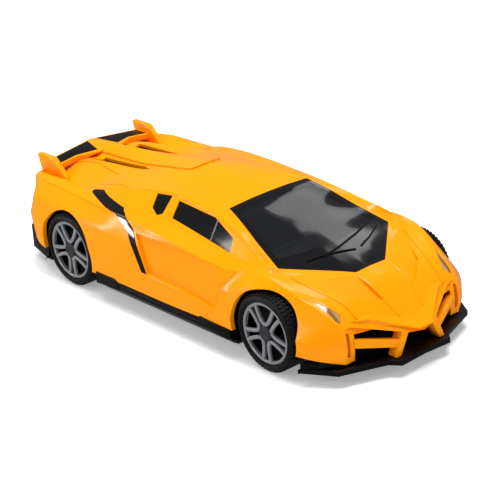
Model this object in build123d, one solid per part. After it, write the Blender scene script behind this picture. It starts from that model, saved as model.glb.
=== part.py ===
from build123d import *
import math
import os

# Pull back toy car: a hollow moulded body on a flat chassis, with clear glazing, four spoked wheels
# on two steel axles, and a wind-up spring motor that drives the rear axle.
# Millimetres. +X is the front, +Y the car's left side, +Z up. The origin is on the ground, at the
# middle of the car's length and width.

# ---- driving dimensions: the whole car ----
WHEELBASE = 100.0
FRONT_OVERHANG = 35.0        # front axle to the tip of the nose
REAR_OVERHANG = 35.0         # rear axle to the tail
BODY_WIDTH = 74.8
BODY_HEIGHT = 30.6           # wheel centres to the top of the roof
BODY_WALL = 1.6
PANEL_GAP = 0.1              # between the body and each piece that is set into it

# ---- wheels and axles ----
TYRE_RADIUS = 13.0
TYRE_WIDTH = 9.6
TYRE_DEPTH = 2.5             # tread down to the wheel core that the tyre sits on
TYRE_INSET = 1.4             # body side to the outer face of the tyres
ARCH_TOP_GAP = 1.4           # tyre tread to the top of the wheel arch
ARCH_END_GAP = 2.8           # and to its front and back
RIM_INSET = 0.2              # silver ring inside the tyre, on the radius
RIM_RING = 1.0               # width of the silver ring
RIM_THICKNESS = 1.3
SPOKE_LOOPS = 5
SPOKE_WIDTH = 0.9
CORE_WALL = 1.1
HUB_RADIUS = 2.3
HUB_CAP_RADIUS = 2.1
HUB_CAP_RECESS = 0.3         # hub cap behind the outer face of the tyre
AXLE_END_RECESS = 1.6        # bottom of the axle's blind bore behind that face
RIM_RECESS = 0.6             # silver face behind that face
AXLE_RADIUS = 1.25
AXLE_RUNNING_GAP = 0.05      # axle in its bearings, on the radius
AXLE_SEAT_GAP = 0.02         # axle in the wheels, on the radius

# ---- chassis ----
CHASSIS_DROP = 8.9           # wheel centres down to the chassis underside
CHASSIS_PLATE = 1.6
SKIRT_WALL = 1.8
SKIRT_HEIGHT = 4.9
BEARING_WIDTH = 3.0
BEARING_WALL = 1.6
BEARING_INSET = 5.9          # inner face of a tyre to the middle of the bearing beside it
POST_RADIUS = 2.5            # posts that carry the cabin tub
STRAKE_THICKNESS = 1.2
RETAINER_THICKNESS = 1.2
BOSS_RADIUS = 2.4
SCREW_RADIUS = 0.9
SCREW_HEAD_RADIUS = 1.9
SCREW_HEAD_HEIGHT = 0.9
SCREW_GRIP = 7.0             # length of screw inside the boss
SCREW_SLOT = 0.4
TUB_WALL = 1.4
TUB_MOTOR_GAP = 7.9          # motor case to the back of the cabin tub

# ---- pull back motor ----
GEAR_MODULE = 0.6
PRESSURE_ANGLE = 20.0
PINION_TEETH = 10            # on the rear axle, and the small end of the compound gear
COMPOUND_TEETH = 30
SPRING_GEAR_TEETH = 36
GEAR_BACKLASH = 0.12
GEAR_WIDTH = 2.2
GEAR_SIDE_GAP = 0.4
COMPOUND_LIFT_ANGLE = 30.0   # line from the rear axle to the compound gear, above level
SPRING_LIFT_ANGLE = 6.0
MOTOR_SHAFT_RADIUS = 1.0
MOTOR_SHAFT_GAP = 0.05
CASE_WALL = 1.2
CASE_GAP = 0.6               # gears to the inside of the case
CASE_SEAT_GAP = 0.05         # case to the cradle that it sits in
LUG_RADIUS = 2.1
LUG_OFFSET = 0.5             # case to the edge of a screw in its lug
SPRING_THICKNESS = 0.35
SPRING_PITCH = 1.1
SPRING_TURNS = 5
SPRING_WIDTH = 5.0
SPRING_INNER_RADIUS = 2.6
MOTOR_SCREW_RADIUS = 0.7
MOTOR_SCREW_HEAD_RADIUS = 1.3
MOTOR_SCREW_HEAD_HEIGHT = 0.7

# ---- rear wing and fins ----
WING_THICKNESS = 2.0
WING_PANEL_THICKNESS = 1.2
FIN_THICKNESS = 2.0

# ---- places worked out from the sizes above ----
AXLE_Z = TYRE_RADIUS
FRONT_AXLE_X = WHEELBASE / 2 + (REAR_OVERHANG - FRONT_OVERHANG) / 2
REAR_AXLE_X = FRONT_AXLE_X - WHEELBASE
TYRE_SEAT_RADIUS = TYRE_RADIUS - TYRE_DEPTH
RIM_RADIUS = TYRE_SEAT_RADIUS - RIM_INSET
TYRE_OUTER_Y = BODY_WIDTH / 2 - TYRE_INSET
TYRE_INNER_Y = TYRE_OUTER_Y - TYRE_WIDTH
BEARING_Y = TYRE_INNER_Y - BEARING_INSET
CHASSIS_Z = AXLE_Z - CHASSIS_DROP
PLATE_TOP = CHASSIS_Z + CHASSIS_PLATE
SKIRT_TOP = CHASSIS_Z + SKIRT_HEIGHT

# The body's form is drawn for these sizes, and stretched from them to the driving dimensions.
FORM_WHEELBASE = 100.0
FORM_OVERHANG = 35.0
FORM_HALF_WIDTH = 37.4
FORM_HEIGHT = 30.6
FORM_AXLE_Z = 13.0


def form(x, y, z):
    """A point of the drawn form, in the car that the driving dimensions make."""
    half = FORM_WHEELBASE / 2
    if x > half:
        real_x = FRONT_AXLE_X + (x - half) * FRONT_OVERHANG / FORM_OVERHANG
    elif x < -half:
        real_x = REAR_AXLE_X + (x + half) * REAR_OVERHANG / FORM_OVERHANG
    else:
        real_x = REAR_AXLE_X + (x + half) * WHEELBASE / FORM_WHEELBASE
    real_y = y * (BODY_WIDTH / 2) / FORM_HALF_WIDTH
    real_z = AXLE_Z + (z - FORM_AXLE_Z) * BODY_HEIGHT / FORM_HEIGHT
    return (real_x, real_y, real_z)


# One half of the body, from tail to nose. Each station lists the points (y, z) where its section
# crosses the sill, lower crease, flank, ridge, belt, rail, roof crease, spine foot and centreline.
STATIONS = [
    (-74, [(32.5, 11.6), (33.6, 19), (31.8, 26), (28.2, 31.2), (26, 32.2), (20, 30), (11.5, 32.6),
           (4, 34.6), (0, 36)]),
    (-66, [(35.6, 10), (36.2, 20), (33.8, 27), (29, 31.8), (26.3, 32.8), (20.5, 30.6), (12, 34.2),
           (4.5, 35.8), (0, 37.4)]),
    (-50, [(37, 9.4), (37.2, 19.5), (34.9, 27.4), (30, 31.8), (27, 33), (21.5, 32), (15, 36), (6, 37.4),
           (0, 38.9)]),
    (-38, [(37, 9.4), (37.4, 18.5), (35.5, 27), (31.4, 32.2), (28.2, 33.6), (22.2, 36.8), (15.5, 37.8),
           (7, 38.9), (0, 40.1)]),
    (-28, [(37, 9.4), (37.4, 17), (35.6, 27), (32.4, 32.3), (30.3, 33.2), (22.9, 38), (15.8, 39),
           (7.5, 40.2), (0, 41.3)]),
    (-18, [(37, 9.4), (37.2, 16), (35.3, 26), (32.4, 31.9), (29, 34.4), (21.6, 39.2), (15.5, 39.9),
           (8, 41.6), (0, 42.6)]),
    (-6, [(37, 9.5), (37, 15), (35.2, 25), (33.3, 31.4), (28, 34), (20.3, 40), (15.2, 40.6), (8, 42.6),
          (0, 43.6)]),
    (14, [(37, 9.9), (37, 15), (35.3, 24), (33.3, 29.9), (28.3, 32.4), (21.3, 38.7), (17.1, 40.1),
          (8, 40.6), (0, 40.7)]),
    (30, [(36.8, 10.1), (36.9, 14), (35.4, 22), (32.9, 28.2), (29, 31), (24.4, 35.3), (21, 34.9),
          (8, 36.2), (0, 36.4)]),
    (38, [(36.8, 10), (37, 16), (35.4, 24.5), (31.1, 29.5), (29, 30.8), (25.8, 33.4), (22.9, 32.3),
          (8, 33.9), (0, 34.1)]),
    (46, [(36.8, 10), (37.2, 18), (35, 26.8), (31, 29.9), (29.3, 30.2), (27.2, 31.2), (24.7, 29.7),
          (8, 31.5), (0, 31.8)]),
    (56, [(36.6, 10), (36.8, 17.5), (33.8, 23.6), (30.2, 27.6), (27.5, 27.3), (22.3, 26.9), (15, 28),
          (8, 28.8), (0, 29)]),
    (65, [(35.6, 10), (35.4, 15), (31.6, 19.5), (27.8, 23.6), (24.6, 24.8), (20.4, 24.4), (16, 25),
          (7, 26), (0, 26.3)]),
    (71, [(31, 8.4), (31, 13), (28.6, 17.5), (26.3, 20.4), (23.2, 21), (20.3, 21.3), (15, 22),
          (6.5, 23.2), (0, 23.6)]),
]
# The tail bulges over its bumper, and the nose's lip sweeps forward to the tip, so at both ends each
# point of the section has its own x.
TAIL = [(-82.5, 27, 12.8), (-83, 27.6, 17), (-79, 27.4, 24), (-79.6, 26.2, 30.8), (-79.3, 24.5, 31.6),
        (-78.6, 19.5, 29.6), (-78.2, 11, 31), (-78.2, 3.5, 32.8), (-78.2, 0, 33.8)]
NOSE = [(75, 25, 6.6), (75.4, 25.8, 12), (75, 25.5, 15.5), (74, 24.9, 17.6), (74.2, 22.4, 18),
        (74.8, 20.3, 17.6), (80.2, 10.5, 15.9), (84.2, 4.6, 14.8), (85, 0, 14.4)]


ON_BASE = (Align.CENTER, Align.CENTER, Align.MIN)    # a solid that stands on its place


def outline(points):
    """A closed face on XY from a list of points."""
    return make_face(Polyline(*points, close=True))


def both_sides(shape):
    return shape + mirror(shape, Plane.XZ)


def skin(rings):
    """A closed solid through rings of points, with flat triangles between each ring and the next."""
    count = len(rings[0])
    triangles = []
    for back, front in zip(rings, rings[1:]):
        for i in range(count):
            j = (i + 1) % count
            triangles.append((back[i], back[j], front[j]))
            triangles.append((back[i], front[j], front[i]))
    for ring in (rings[0], rings[-1]):
        for i in range(1, count - 1):
            triangles.append((ring[0], ring[i], ring[i + 1]))
    faces = [Face(Wire.make_polygon([Vector(*p) for p in triangle], close=True)) for triangle in triangles]
    return Solid(Shell(faces))


def ring(half, drop=0.0):
    """A whole ring from the points of its left half, closed along the bottom.

    A drop lowers the sill and the floor, so that a hollow made from the ring is open underneath."""
    sill_x, sill_y, sill_z = half[0]
    left = [(sill_x, sill_y, sill_z - drop)] + half[1:]
    right = [(x, -y, z) for x, y, z in left]
    floor_middle = (half[-1][0], 0, sill_z - drop)
    return [floor_middle] + left + right[-2::-1]


def inset(half, wall, shift_x):
    """The points of a half ring moved in by a wall, square to the section's own outline."""
    normals = []
    for (_, y0, z0), (_, y1, z1) in zip(half, half[1:]):
        length = math.hypot(y1 - y0, z1 - z0)
        normals.append(((z1 - z0) / length, (y0 - y1) / length))
    moved = [(half[0][0] + shift_x, half[0][1] - wall, half[0][2])]
    for (x, y, z), before, after in zip(half[1:-1], normals, normals[1:]):
        mitre_y, mitre_z = before[0] + after[0], before[1] + after[1]
        scale = wall / (mitre_y * before[0] + mitre_z * before[1])
        moved.append((x + shift_x, y - mitre_y * scale, z - mitre_z * scale))
    moved.append((half[-1][0] + shift_x, 0, half[-1][2] - wall / normals[-1][1]))
    return moved


HALF_RINGS = [[form(*p) for p in TAIL]]
HALF_RINGS += [[form(x, y, z) for y, z in section] for x, section in STATIONS]
HALF_RINGS += [[form(*p) for p in NOSE]]


def body_outside():
    return skin([ring(half) for half in HALF_RINGS])


def body_inside():
    """The hollow: the outside moved in by the wall, and left open underneath."""
    shifts = [BODY_WALL] + [0.0] * (len(HALF_RINGS) - 2) + [-BODY_WALL]
    return skin([ring(inset(half, BODY_WALL, shift), drop=4.0) for half, shift in zip(HALF_RINGS, shifts)])


# ---- prisms along each axis, from outlines in the other two ----
def along_x(face, low, high):
    return extrude(Plane((low, 0, 0), x_dir=(0, 1, 0), z_dir=(1, 0, 0)) * face, high - low)


def along_y(face, low, high):
    return extrude(Plane((0, high, 0), x_dir=(1, 0, 0), z_dir=(0, -1, 0)) * face, high - low)


def along_z(face, low, high):
    return extrude(Plane((0, 0, low)) * face, high - low)


def side_view(points):
    """A closed face from drawn points (x, z)."""
    return outline([(form(x, 0, z)[0], form(x, 0, z)[2]) for x, z in points])


def plan_view(points):
    """A closed face from drawn points (x, y)."""
    return outline([form(x, y, 0)[:2] for x, y in points])


def end_view(points):
    """A closed face from drawn points (y, z)."""
    return outline([form(0, y, z)[1:] for y, z in points])


def smaller(face):
    """The outline of a piece that drops into a cut-out of the given outline."""
    return offset(face, -PANEL_GAP, kind=Kind.INTERSECTION)


# ---- the cut-outs of the body, each with the solid that reaches through the wall there ----
WINDSCREEN = [(15, 17), (45.5, 24.3), (61.5, 6.5), (61.5, -6.5), (45.5, -24.3), (15, -17)]
DOOR_WINDOW = [(-4.6, 38.9), (-2.8, 34.6), (27.6, 31.4), (25.6, 35), (14, 38)]
QUARTER_WINDOW = [(-14.2, 38.6), (-9, 38.9), (-6.8, 35), (-8.6, 34.8), (-11.6, 35)]
HEADLIGHT = [(63.4, 26.6), (70.8, 22.6), (72.6, 24.4), (71.6, 25.2)]
TAIL_LIGHT = [(14, 25.5), (24, 28), (25.5, 25), (18, 21.5)]
REAR_GRILLE = [(-12, 17), (-11.5, 26.5), (11.5, 26.5), (12, 17)]
LOUVRE = [(-65, 10), (-65, 5.5), (-41, 6.6), (-35.5, 8.6)]
SIDE_TRIM = [(-46.6, 35.6), (-43, 35.4), (-24, 33.7), (-15.4, 29.6), (-6.6, 17.5), (-8.6, 17.5),
             (-17.4, 28.6), (-25.4, 32.6), (-45, 33.4)]

WINDOW_INNER_Y, TRIM_INNER_Y = 21, 25.4    # how far in, in the drawn form, the side openings reach


def windscreen_opening(shrink=lambda face: face):
    return along_z(shrink(plan_view(WINDSCREEN)), form(0, 0, 25)[2], form(0, 0, 45)[2])


def side_opening(points, inner_y, shrink=lambda face: face):
    return along_y(shrink(side_view(points)), form(0, inner_y, 0)[1], BODY_WIDTH / 2 + 1)


def headlight_opening(shrink=lambda face: face):
    return along_z(shrink(plan_view(HEADLIGHT)), form(0, 0, 17.5)[2], form(0, 0, 30)[2])


def tail_opening(points, shrink=lambda face: face):
    return along_x(shrink(end_view(points)), form(-86, 0, 0)[0], form(-75, 0, 0)[0])


def louvre_opening(shrink=lambda face: face):
    return along_z(shrink(plan_view(LOUVRE)), form(0, 0, 30)[2], form(0, 0, 44)[2])


def intake_opening():
    lip = [(-21.3, 4), (-21.3, 15.6), (-10.5, 13.9), (0, 12.5), (10.5, 13.9), (21.3, 15.6), (21.3, 4)]
    return along_x(end_view(lip), form(70, 0, 0)[0], form(90, 0, 0)[0])


def wheel_arches():
    """One cutter for each wheel, from well inside the body to past its side."""
    opening = Ellipse(TYRE_RADIUS + ARCH_END_GAP, TYRE_RADIUS + ARCH_TOP_GAP)
    arch = along_y(opening, TYRE_INNER_Y - 8, BODY_WIDTH)
    for x in (FRONT_AXLE_X, REAR_AXLE_X):
        yield Pos(x, 0, AXLE_Z) * arch
        yield Pos(x, 0, AXLE_Z) * mirror(arch, Plane.XZ)


def intake_blades(outside):
    """The fin, level blade and cheek on each side of the front intake, moulded with the body."""
    fin = end_view([(4.6, 18), (6.6, 18), (10.6, 5.9), (8.8, 5.9)])
    fin = along_x(fin, form(78.2, 0, 0)[0], form(83, 0, 0)[0])
    blade = plan_view([(73.4, 24), (76, 24), (82.6, 8), (79.6, 8)])
    blade = along_z(blade, form(0, 0, 10.3)[2], form(0, 0, 13)[2])
    cheek_y = form(0, 21.3, 0)[1]
    cheek = along_y(side_view([(68, 4), (68, 30), (80, 30), (80, 4)]), cheek_y, cheek_y + BODY_WALL)
    return both_sides(fin + blade + cheek) & outside


def motor_post(outside):
    """A post under the roof that holds the motor down in its cradle."""
    top_of_case = SPRING_Z + case_reach(SPRING_GEAR_TEETH)
    post = Cylinder(BOSS_RADIUS, BODY_HEIGHT, align=ON_BASE)
    return Pos(SPRING_X, 0, top_of_case + 2 * CASE_SEAT_GAP) * post & outside


# ---- screws and bosses ----
FRONT_BOSS = (63.0, 11.0)    # from the car's middle
REAR_BOSS = (-71.5, 15.0)


def boss_places():
    for x, y in (FRONT_BOSS, REAR_BOSS):
        real_x, real_y, _ = form(x, y, 0)
        yield real_x, real_y
        yield real_x, -real_y


def bosses(outside):
    """Screw posts under the body, from the chassis plate up into the wall."""
    one = Cylinder(BOSS_RADIUS, BODY_HEIGHT + CHASSIS_DROP, align=ON_BASE)
    return [Pos(x, y, PLATE_TOP) * one & outside for x, y in boss_places()]


def screw(x, y, z, radius, head_radius, head_height, grip):
    """A pan-head screw pointing up, with its head's underside at z."""
    shank = Pos(x, y, z) * Cylinder(radius, grip, align=ON_BASE)
    head = Pos(x, y, z - head_height) * Cylinder(head_radius, head_height, align=ON_BASE)
    bar = Box(head_radius * 1.2, SCREW_SLOT, head_height)
    return shank + head - Pos(x, y, z - head_height) * (bar + Rot(0, 0, 90) * bar)


def body_shell(outside, inside):
    shell = outside - inside
    for cut in wheel_arches():
        shell -= cut
    shell -= intake_opening()
    shell += intake_blades(outside)
    for post in bosses(outside) + [motor_post(outside)]:
        shell += post
    shell -= windscreen_opening()
    shell -= tail_opening(REAR_GRILLE)
    for opening in (side_opening(DOOR_WINDOW, WINDOW_INNER_Y), side_opening(QUARTER_WINDOW, WINDOW_INNER_Y),
                    side_opening(SIDE_TRIM, TRIM_INNER_Y), headlight_opening(), louvre_opening(),
                    tail_opening(TAIL_LIGHT)):
        shell -= both_sides(opening)
    for x, y in boss_places():
        shell -= Pos(x, y, PLATE_TOP) * Cylinder(SCREW_RADIUS, 2 * SCREW_GRIP)
    return shell


def set_in(blank, opening):
    """The piece of the body's wall that fills one opening, a panel gap smaller all round."""
    return blank & opening


# ---- rear wing: a blade across the tail, two end fins, and a textured panel in each half ----
WING_HALF = [(-81, 0), (-80, 20.6), (-72.8, 20.6), (-73.2, 12), (-69, 5), (-68.5, 0)]
WING_PANEL = [(-79.4, 3), (-78.6, 19), (-74.6, 19.2), (-74.9, 11.6), (-72, 5)]
WING_LOW_Z = 34.0            # top of the blade at its outer ends
WING_MIDDLE_Z = 36.2
FIN_SIDE = [(-82.4, 37), (-73.6, 37.2), (-66.8, 31), (-79.5, 28)]


def wing_slab(points, thickness, grow=0.0):
    """A sheet under the wing's top, which rises to the middle in two slopes, cut to a plan outline."""
    half_span = form(0, 22, 0)[1]
    low, middle = form(0, 0, WING_LOW_Z)[2], form(0, 0, WING_MIDDLE_Z)[2]
    section = outline([(0, middle + grow), (half_span, low + grow), (half_span, low - thickness - grow),
                       (0, middle - thickness - grow)])
    slopes = along_x(section, REAR_AXLE_X - REAR_OVERHANG, REAR_AXLE_X)
    return slopes & along_z(points, 0, AXLE_Z + 2 * BODY_HEIGHT)


def rear_wing(outside):
    blade = wing_slab(plan_view(WING_HALF), WING_THICKNESS)
    blade -= wing_slab(plan_view(WING_PANEL), WING_THICKNESS, grow=0.5)
    fin_y = form(0, 20.5, 0)[1]
    fin = along_y(side_view(FIN_SIDE), fin_y, fin_y + FIN_THICKNESS)
    pylon = plan_view([(-80, 0), (-80, 2.4), (-69.5, 4.4), (-69.5, 0)])
    pylon = along_z(pylon, form(0, 0, 30)[2], form(0, 0, WING_MIDDLE_Z - 0.8)[2])
    return both_sides(blade + fin + pylon) - outside


def wing_panel():
    return wing_slab(smaller(plan_view(WING_PANEL)), WING_PANEL_THICKNESS)


# ---- wheels ----
def turned(section):
    """A solid turned about the wheel's axle, from a section drawn as (radius, y)."""
    return revolve(Plane.XY * section, Axis.Y)


def wheel_core():
    """The hidden black wheel: a barrel under the tyre, a web, and a hub closed by a cap."""
    outer, inner = TYRE_OUTER_Y, TYRE_INNER_Y
    barrel_out, barrel_in = TYRE_SEAT_RADIUS - 0.05, TYRE_SEAT_RADIUS - CORE_WALL
    face_y = outer - RIM_RECESS - RIM_THICKNESS
    web_y = (inner + outer) / 2
    bore = AXLE_RADIUS + AXLE_SEAT_GAP
    web_back = web_y - CORE_WALL
    section = outline([(bore, inner), (HUB_RADIUS, inner), (HUB_RADIUS, web_back), (barrel_in, web_back),
                       (barrel_in, inner), (barrel_out, inner), (barrel_out, face_y), (barrel_in, face_y),
                       (barrel_in, web_y), (HUB_RADIUS, web_y), (HUB_RADIUS, outer - 0.8),
                       (HUB_CAP_RADIUS, outer - HUB_CAP_RECESS), (0, outer - HUB_CAP_RECESS),
                       (0, outer - AXLE_END_RECESS), (bore, outer - AXLE_END_RECESS)])
    return turned(section)


def tyre():
    outer, inner = TYRE_OUTER_Y, TYRE_INNER_Y
    shoulder = 1.2
    seat, tread = TYRE_SEAT_RADIUS, TYRE_RADIUS
    section = outline([(seat, inner), (tread - shoulder, inner), (tread, inner + shoulder),
                       (tread, outer - shoulder), (tread - shoulder, outer), (seat, outer)])
    return turned(section)


def spoke_arm(side):
    """One arm of a loop: from its point beside the hub, curving out to the ring."""
    path = [(3.0, 0), (4.6, 15), (7.0, 21.5), (RIM_RADIUS - RIM_RING / 2, 24)]
    points = [(r * math.cos(math.radians(side * a)), r * math.sin(math.radians(side * a))) for r, a in path]
    return trace(Polyline(*points), SPOKE_WIDTH)


def rim_face():
    """The silver face of the wheel: a ring, five looped spokes and a collar round the hub."""
    collar = HUB_RADIUS + 0.05
    face = Circle(RIM_RADIUS) - Circle(RIM_RADIUS - RIM_RING)
    face += Circle(collar + 0.9) - Circle(collar)
    for i in range(SPOKE_LOOPS):
        turn = Rot(0, 0, 90 + i * 360 / SPOKE_LOOPS)
        for side in (1, -1):
            face += turn * (spoke_arm(side) - Circle(collar + 0.4))
    top = TYRE_OUTER_Y - RIM_RECESS
    return along_y(face, top - RIM_THICKNESS, top)


def axle():
    half = TYRE_OUTER_Y - AXLE_END_RECESS - 0.1
    return Rot(90, 0, 0) * Cylinder(AXLE_RADIUS, 2 * half)


# ---- pull back motor ----
COMPOUND_DISTANCE = GEAR_MODULE * (PINION_TEETH + COMPOUND_TEETH) / 2
SPRING_DISTANCE = GEAR_MODULE * (PINION_TEETH + SPRING_GEAR_TEETH) / 2
COMPOUND_X = REAR_AXLE_X + COMPOUND_DISTANCE * math.cos(math.radians(COMPOUND_LIFT_ANGLE))
COMPOUND_Z = AXLE_Z + COMPOUND_DISTANCE * math.sin(math.radians(COMPOUND_LIFT_ANGLE))
SPRING_X = COMPOUND_X + SPRING_DISTANCE * math.cos(math.radians(SPRING_LIFT_ANGLE))
SPRING_Z = COMPOUND_Z + SPRING_DISTANCE * math.sin(math.radians(SPRING_LIFT_ANGLE))
ADDENDUM = 0.65 * GEAR_MODULE    # short teeth, so that the small pinions need no undercut
DEDENDUM = 1.0 * GEAR_MODULE
FINAL_PLANE = 3.4            # y where the axle pinion and the big compound gear start
FIRST_PLANE = FINAL_PLANE - GEAR_WIDTH - GEAR_SIDE_GAP
SPRING_Y = FIRST_PLANE - GEAR_SIDE_GAP - SPRING_WIDTH
CASE_LEFT_Y = FINAL_PLANE + GEAR_WIDTH + CASE_GAP + CASE_WALL
CASE_RIGHT_Y = SPRING_Y - CASE_GAP - CASE_WALL


def gear_outline(teeth, first_tooth_angle):
    """An involute gear as a closed face. Each flank is drawn with five points."""
    pitch = GEAR_MODULE * teeth / 2
    base = pitch * math.cos(math.radians(PRESSURE_ANGLE))
    tip, root = pitch + ADDENDUM, pitch - DEDENDUM

    def involute(radius):
        roll = math.sqrt(max((radius / base) ** 2 - 1, 0))
        return roll - math.atan(roll)

    half_tooth = (math.pi * GEAR_MODULE / 2 - GEAR_BACKLASH) / (2 * pitch) + involute(pitch)
    start = max(base, root)
    radii = [start + (tip - start) * i / 4 for i in range(5)]
    flank = [(radius, half_tooth - involute(radius)) for radius in radii]
    if root < base:
        flank = [(root, half_tooth)] + flank
    points = []
    for tooth in range(teeth):
        middle = math.radians(first_tooth_angle + tooth * 360 / teeth)
        for radius, angle in flank:
            points.append((radius * math.cos(middle - angle), radius * math.sin(middle - angle)))
        for radius, angle in reversed(flank):
            points.append((radius * math.cos(middle + angle), radius * math.sin(middle + angle)))
    return outline(points)


def axle_pinion():
    """The small gear that is pressed on the rear axle."""
    face = gear_outline(PINION_TEETH, COMPOUND_LIFT_ANGLE) - Circle(AXLE_RADIUS + AXLE_SEAT_GAP)
    return Pos(REAR_AXLE_X, 0, AXLE_Z) * along_y(face, FINAL_PLANE, FINAL_PLANE + GEAR_WIDTH)


def compound_gear():
    """A big gear and a small pinion in one moulding, with a plain journal at each end."""
    big_tooth = COMPOUND_LIFT_ANGLE + 180 + 180 / COMPOUND_TEETH
    big = along_y(gear_outline(COMPOUND_TEETH, big_tooth), FINAL_PLANE, FINAL_PLANE + GEAR_WIDTH)
    small_face = gear_outline(PINION_TEETH, SPRING_LIFT_ANGLE)
    small = along_y(small_face, FIRST_PLANE - GEAR_SIDE_GAP / 2, FINAL_PLANE)
    journal = along_y(Circle(MOTOR_SHAFT_RADIUS), CASE_RIGHT_Y, CASE_LEFT_Y)
    return Pos(COMPOUND_X, 0, COMPOUND_Z) * (big + small + journal)


def spring_gear():
    """The gear that the mainspring winds, with the arbor that holds the spring's inner end."""
    tooth = SPRING_LIFT_ANGLE + 180 + 180 / SPRING_GEAR_TEETH
    gear = along_y(gear_outline(SPRING_GEAR_TEETH, tooth), FIRST_PLANE, FIRST_PLANE + GEAR_WIDTH)
    arbor = along_y(Circle(SPRING_INNER_RADIUS - SPRING_THICKNESS - 0.05), SPRING_Y, FIRST_PLANE)
    journal = along_y(Circle(MOTOR_SHAFT_RADIUS), CASE_RIGHT_Y, CASE_LEFT_Y)
    return Pos(SPRING_X, 0, SPRING_Z) * (gear + arbor + journal)


def mainspring():
    """A flat strip wound into a spiral round the arbor."""
    steps = 16 * SPRING_TURNS
    inner, outer = [], []
    for i in range(steps + 1):
        angle = 2 * math.pi * i / 16
        radius = SPRING_INNER_RADIUS - SPRING_THICKNESS / 2 + SPRING_PITCH * i / 16
        for side, points in ((-1, inner), (1, outer)):
            r = radius + side * SPRING_THICKNESS / 2
            points.append((r * math.cos(angle), r * math.sin(angle)))
    strip = along_y(outline(inner + outer[::-1]), SPRING_Y + 0.2, SPRING_Y + SPRING_WIDTH - 0.2)
    return Pos(SPRING_X, 0, SPRING_Z) * strip


def case_reach(teeth):
    """From the middle of a gear to the outside of the case round it."""
    return GEAR_MODULE * teeth / 2 + ADDENDUM + CASE_GAP + CASE_WALL


def case_outline(extra):
    """The case's side view: a belt round the gears, grown by the given amount."""
    reach_axle = GEAR_MODULE * PINION_TEETH / 2 + ADDENDUM + extra
    reach_big = GEAR_MODULE * COMPOUND_TEETH / 2 + ADDENDUM + extra
    reach_spring = GEAR_MODULE * SPRING_GEAR_TEETH / 2 + ADDENDUM + extra
    circles = [Pos(REAR_AXLE_X, AXLE_Z) * Circle(reach_axle), Pos(COMPOUND_X, COMPOUND_Z) * Circle(reach_big),
               Pos(SPRING_X, SPRING_Z) * Circle(reach_spring)]
    edges = [edge for circle in circles for edge in circle.edges()]
    return make_hull(edges)


def motor_case(low, high, open_low):
    """One half of the case: a tray with its open side at one end, and bearings for the three shafts."""
    outside = along_y(case_outline(CASE_GAP + CASE_WALL), low, high)
    cavity_low = low - 1 if open_low else low + CASE_WALL
    cavity_high = high - CASE_WALL if open_low else high + 1
    tray = outside - along_y(case_outline(CASE_GAP), cavity_low, cavity_high)
    for x, z, radius in ((REAR_AXLE_X, AXLE_Z, AXLE_RADIUS + AXLE_RUNNING_GAP),
                         (COMPOUND_X, COMPOUND_Z, MOTOR_SHAFT_RADIUS + MOTOR_SHAFT_GAP),
                         (SPRING_X, SPRING_Z, MOTOR_SHAFT_RADIUS + MOTOR_SHAFT_GAP)):
        tray -= Pos(x, 0, z) * (Rot(90, 0, 0) * Cylinder(radius, 60))
    return tray


def lug_places():
    """Where the case's screws go: behind the axle, over the compound gear and in front of the spring."""
    lugs = [(REAR_AXLE_X, AXLE_Z, PINION_TEETH, 150), (COMPOUND_X, COMPOUND_Z, COMPOUND_TEETH, 100),
            (SPRING_X, SPRING_Z, SPRING_GEAR_TEETH, -30)]
    for x, z, teeth, angle in lugs:
        reach = case_reach(teeth) + MOTOR_SCREW_RADIUS + LUG_OFFSET
        yield x + reach * math.cos(math.radians(angle)), z + reach * math.sin(math.radians(angle))


def motor_case_half(low, high, open_low):
    """A tray of the case with its screw lugs. The screws pass one half and bite into the other."""
    tray = motor_case(low, high, open_low)
    hollow = along_y(case_outline(CASE_GAP), low - 1, high + 1)
    for x, z in lug_places():
        lug = Pos(x, 0, z) * along_y(Circle(LUG_RADIUS), low, high)
        tray += lug - hollow
        tray -= Pos(x, 0, z) * along_y(Circle(MOTOR_SCREW_RADIUS), low - 1, high + 1)
    return tray


def motor_screws():
    """Three pan-head screws along Y, with their heads on the left half of the case."""
    reach = CASE_LEFT_Y - CASE_RIGHT_Y - 1.5
    one = screw(0, 0, 0, MOTOR_SCREW_RADIUS, MOTOR_SCREW_HEAD_RADIUS, MOTOR_SCREW_HEAD_HEIGHT, reach)
    return [Pos(x, CASE_LEFT_Y, z) * (Rot(90, 0, 0) * one) for x, z in lug_places()]


# ---- chassis ----
CHASSIS_HALF = [(-85, 0), (-85, 19), (-84, 25), (-80.3, 29.8), (-66, 33.4), (-64.5, 37.2), (64.5, 37.2),
                (65, 35), (75.4, 28.8), (81.2, 13.4), (84.8, 10.6), (84.2, 0)]
TAIL_EDGE = [(-66, 0), (-66, 9.4), (-74, 10.9), (-80, 12.4), (-90, 12.4), (-90, 0)]
STRAKE = [(-84.5, 5), (-76, 4.5), (-76, 11.5), (-84.5, 11.5)]
WHEEL_SIDE_GAP = 1.0
WHEEL_END_GAP = 1.8


def whole(half_points):
    """Both sides of an outline that is drawn on one side of the centreline."""
    return half_points + [(x, -y) for x, y in half_points[::-1] if y]


def wheel_wells(height):
    """What the chassis leaves free for the four wheels."""
    length = 2 * (TYRE_RADIUS + WHEEL_END_GAP)
    inner = TYRE_INNER_Y - WHEEL_SIDE_GAP
    well = Box(length, BODY_WIDTH, height, align=(Align.CENTER, Align.MIN, Align.CENTER))
    return [Pos(x, inner if side > 0 else -inner - BODY_WIDTH, AXLE_Z) * well
            for x in (FRONT_AXLE_X, REAR_AXLE_X) for side in (1, -1)]


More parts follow.
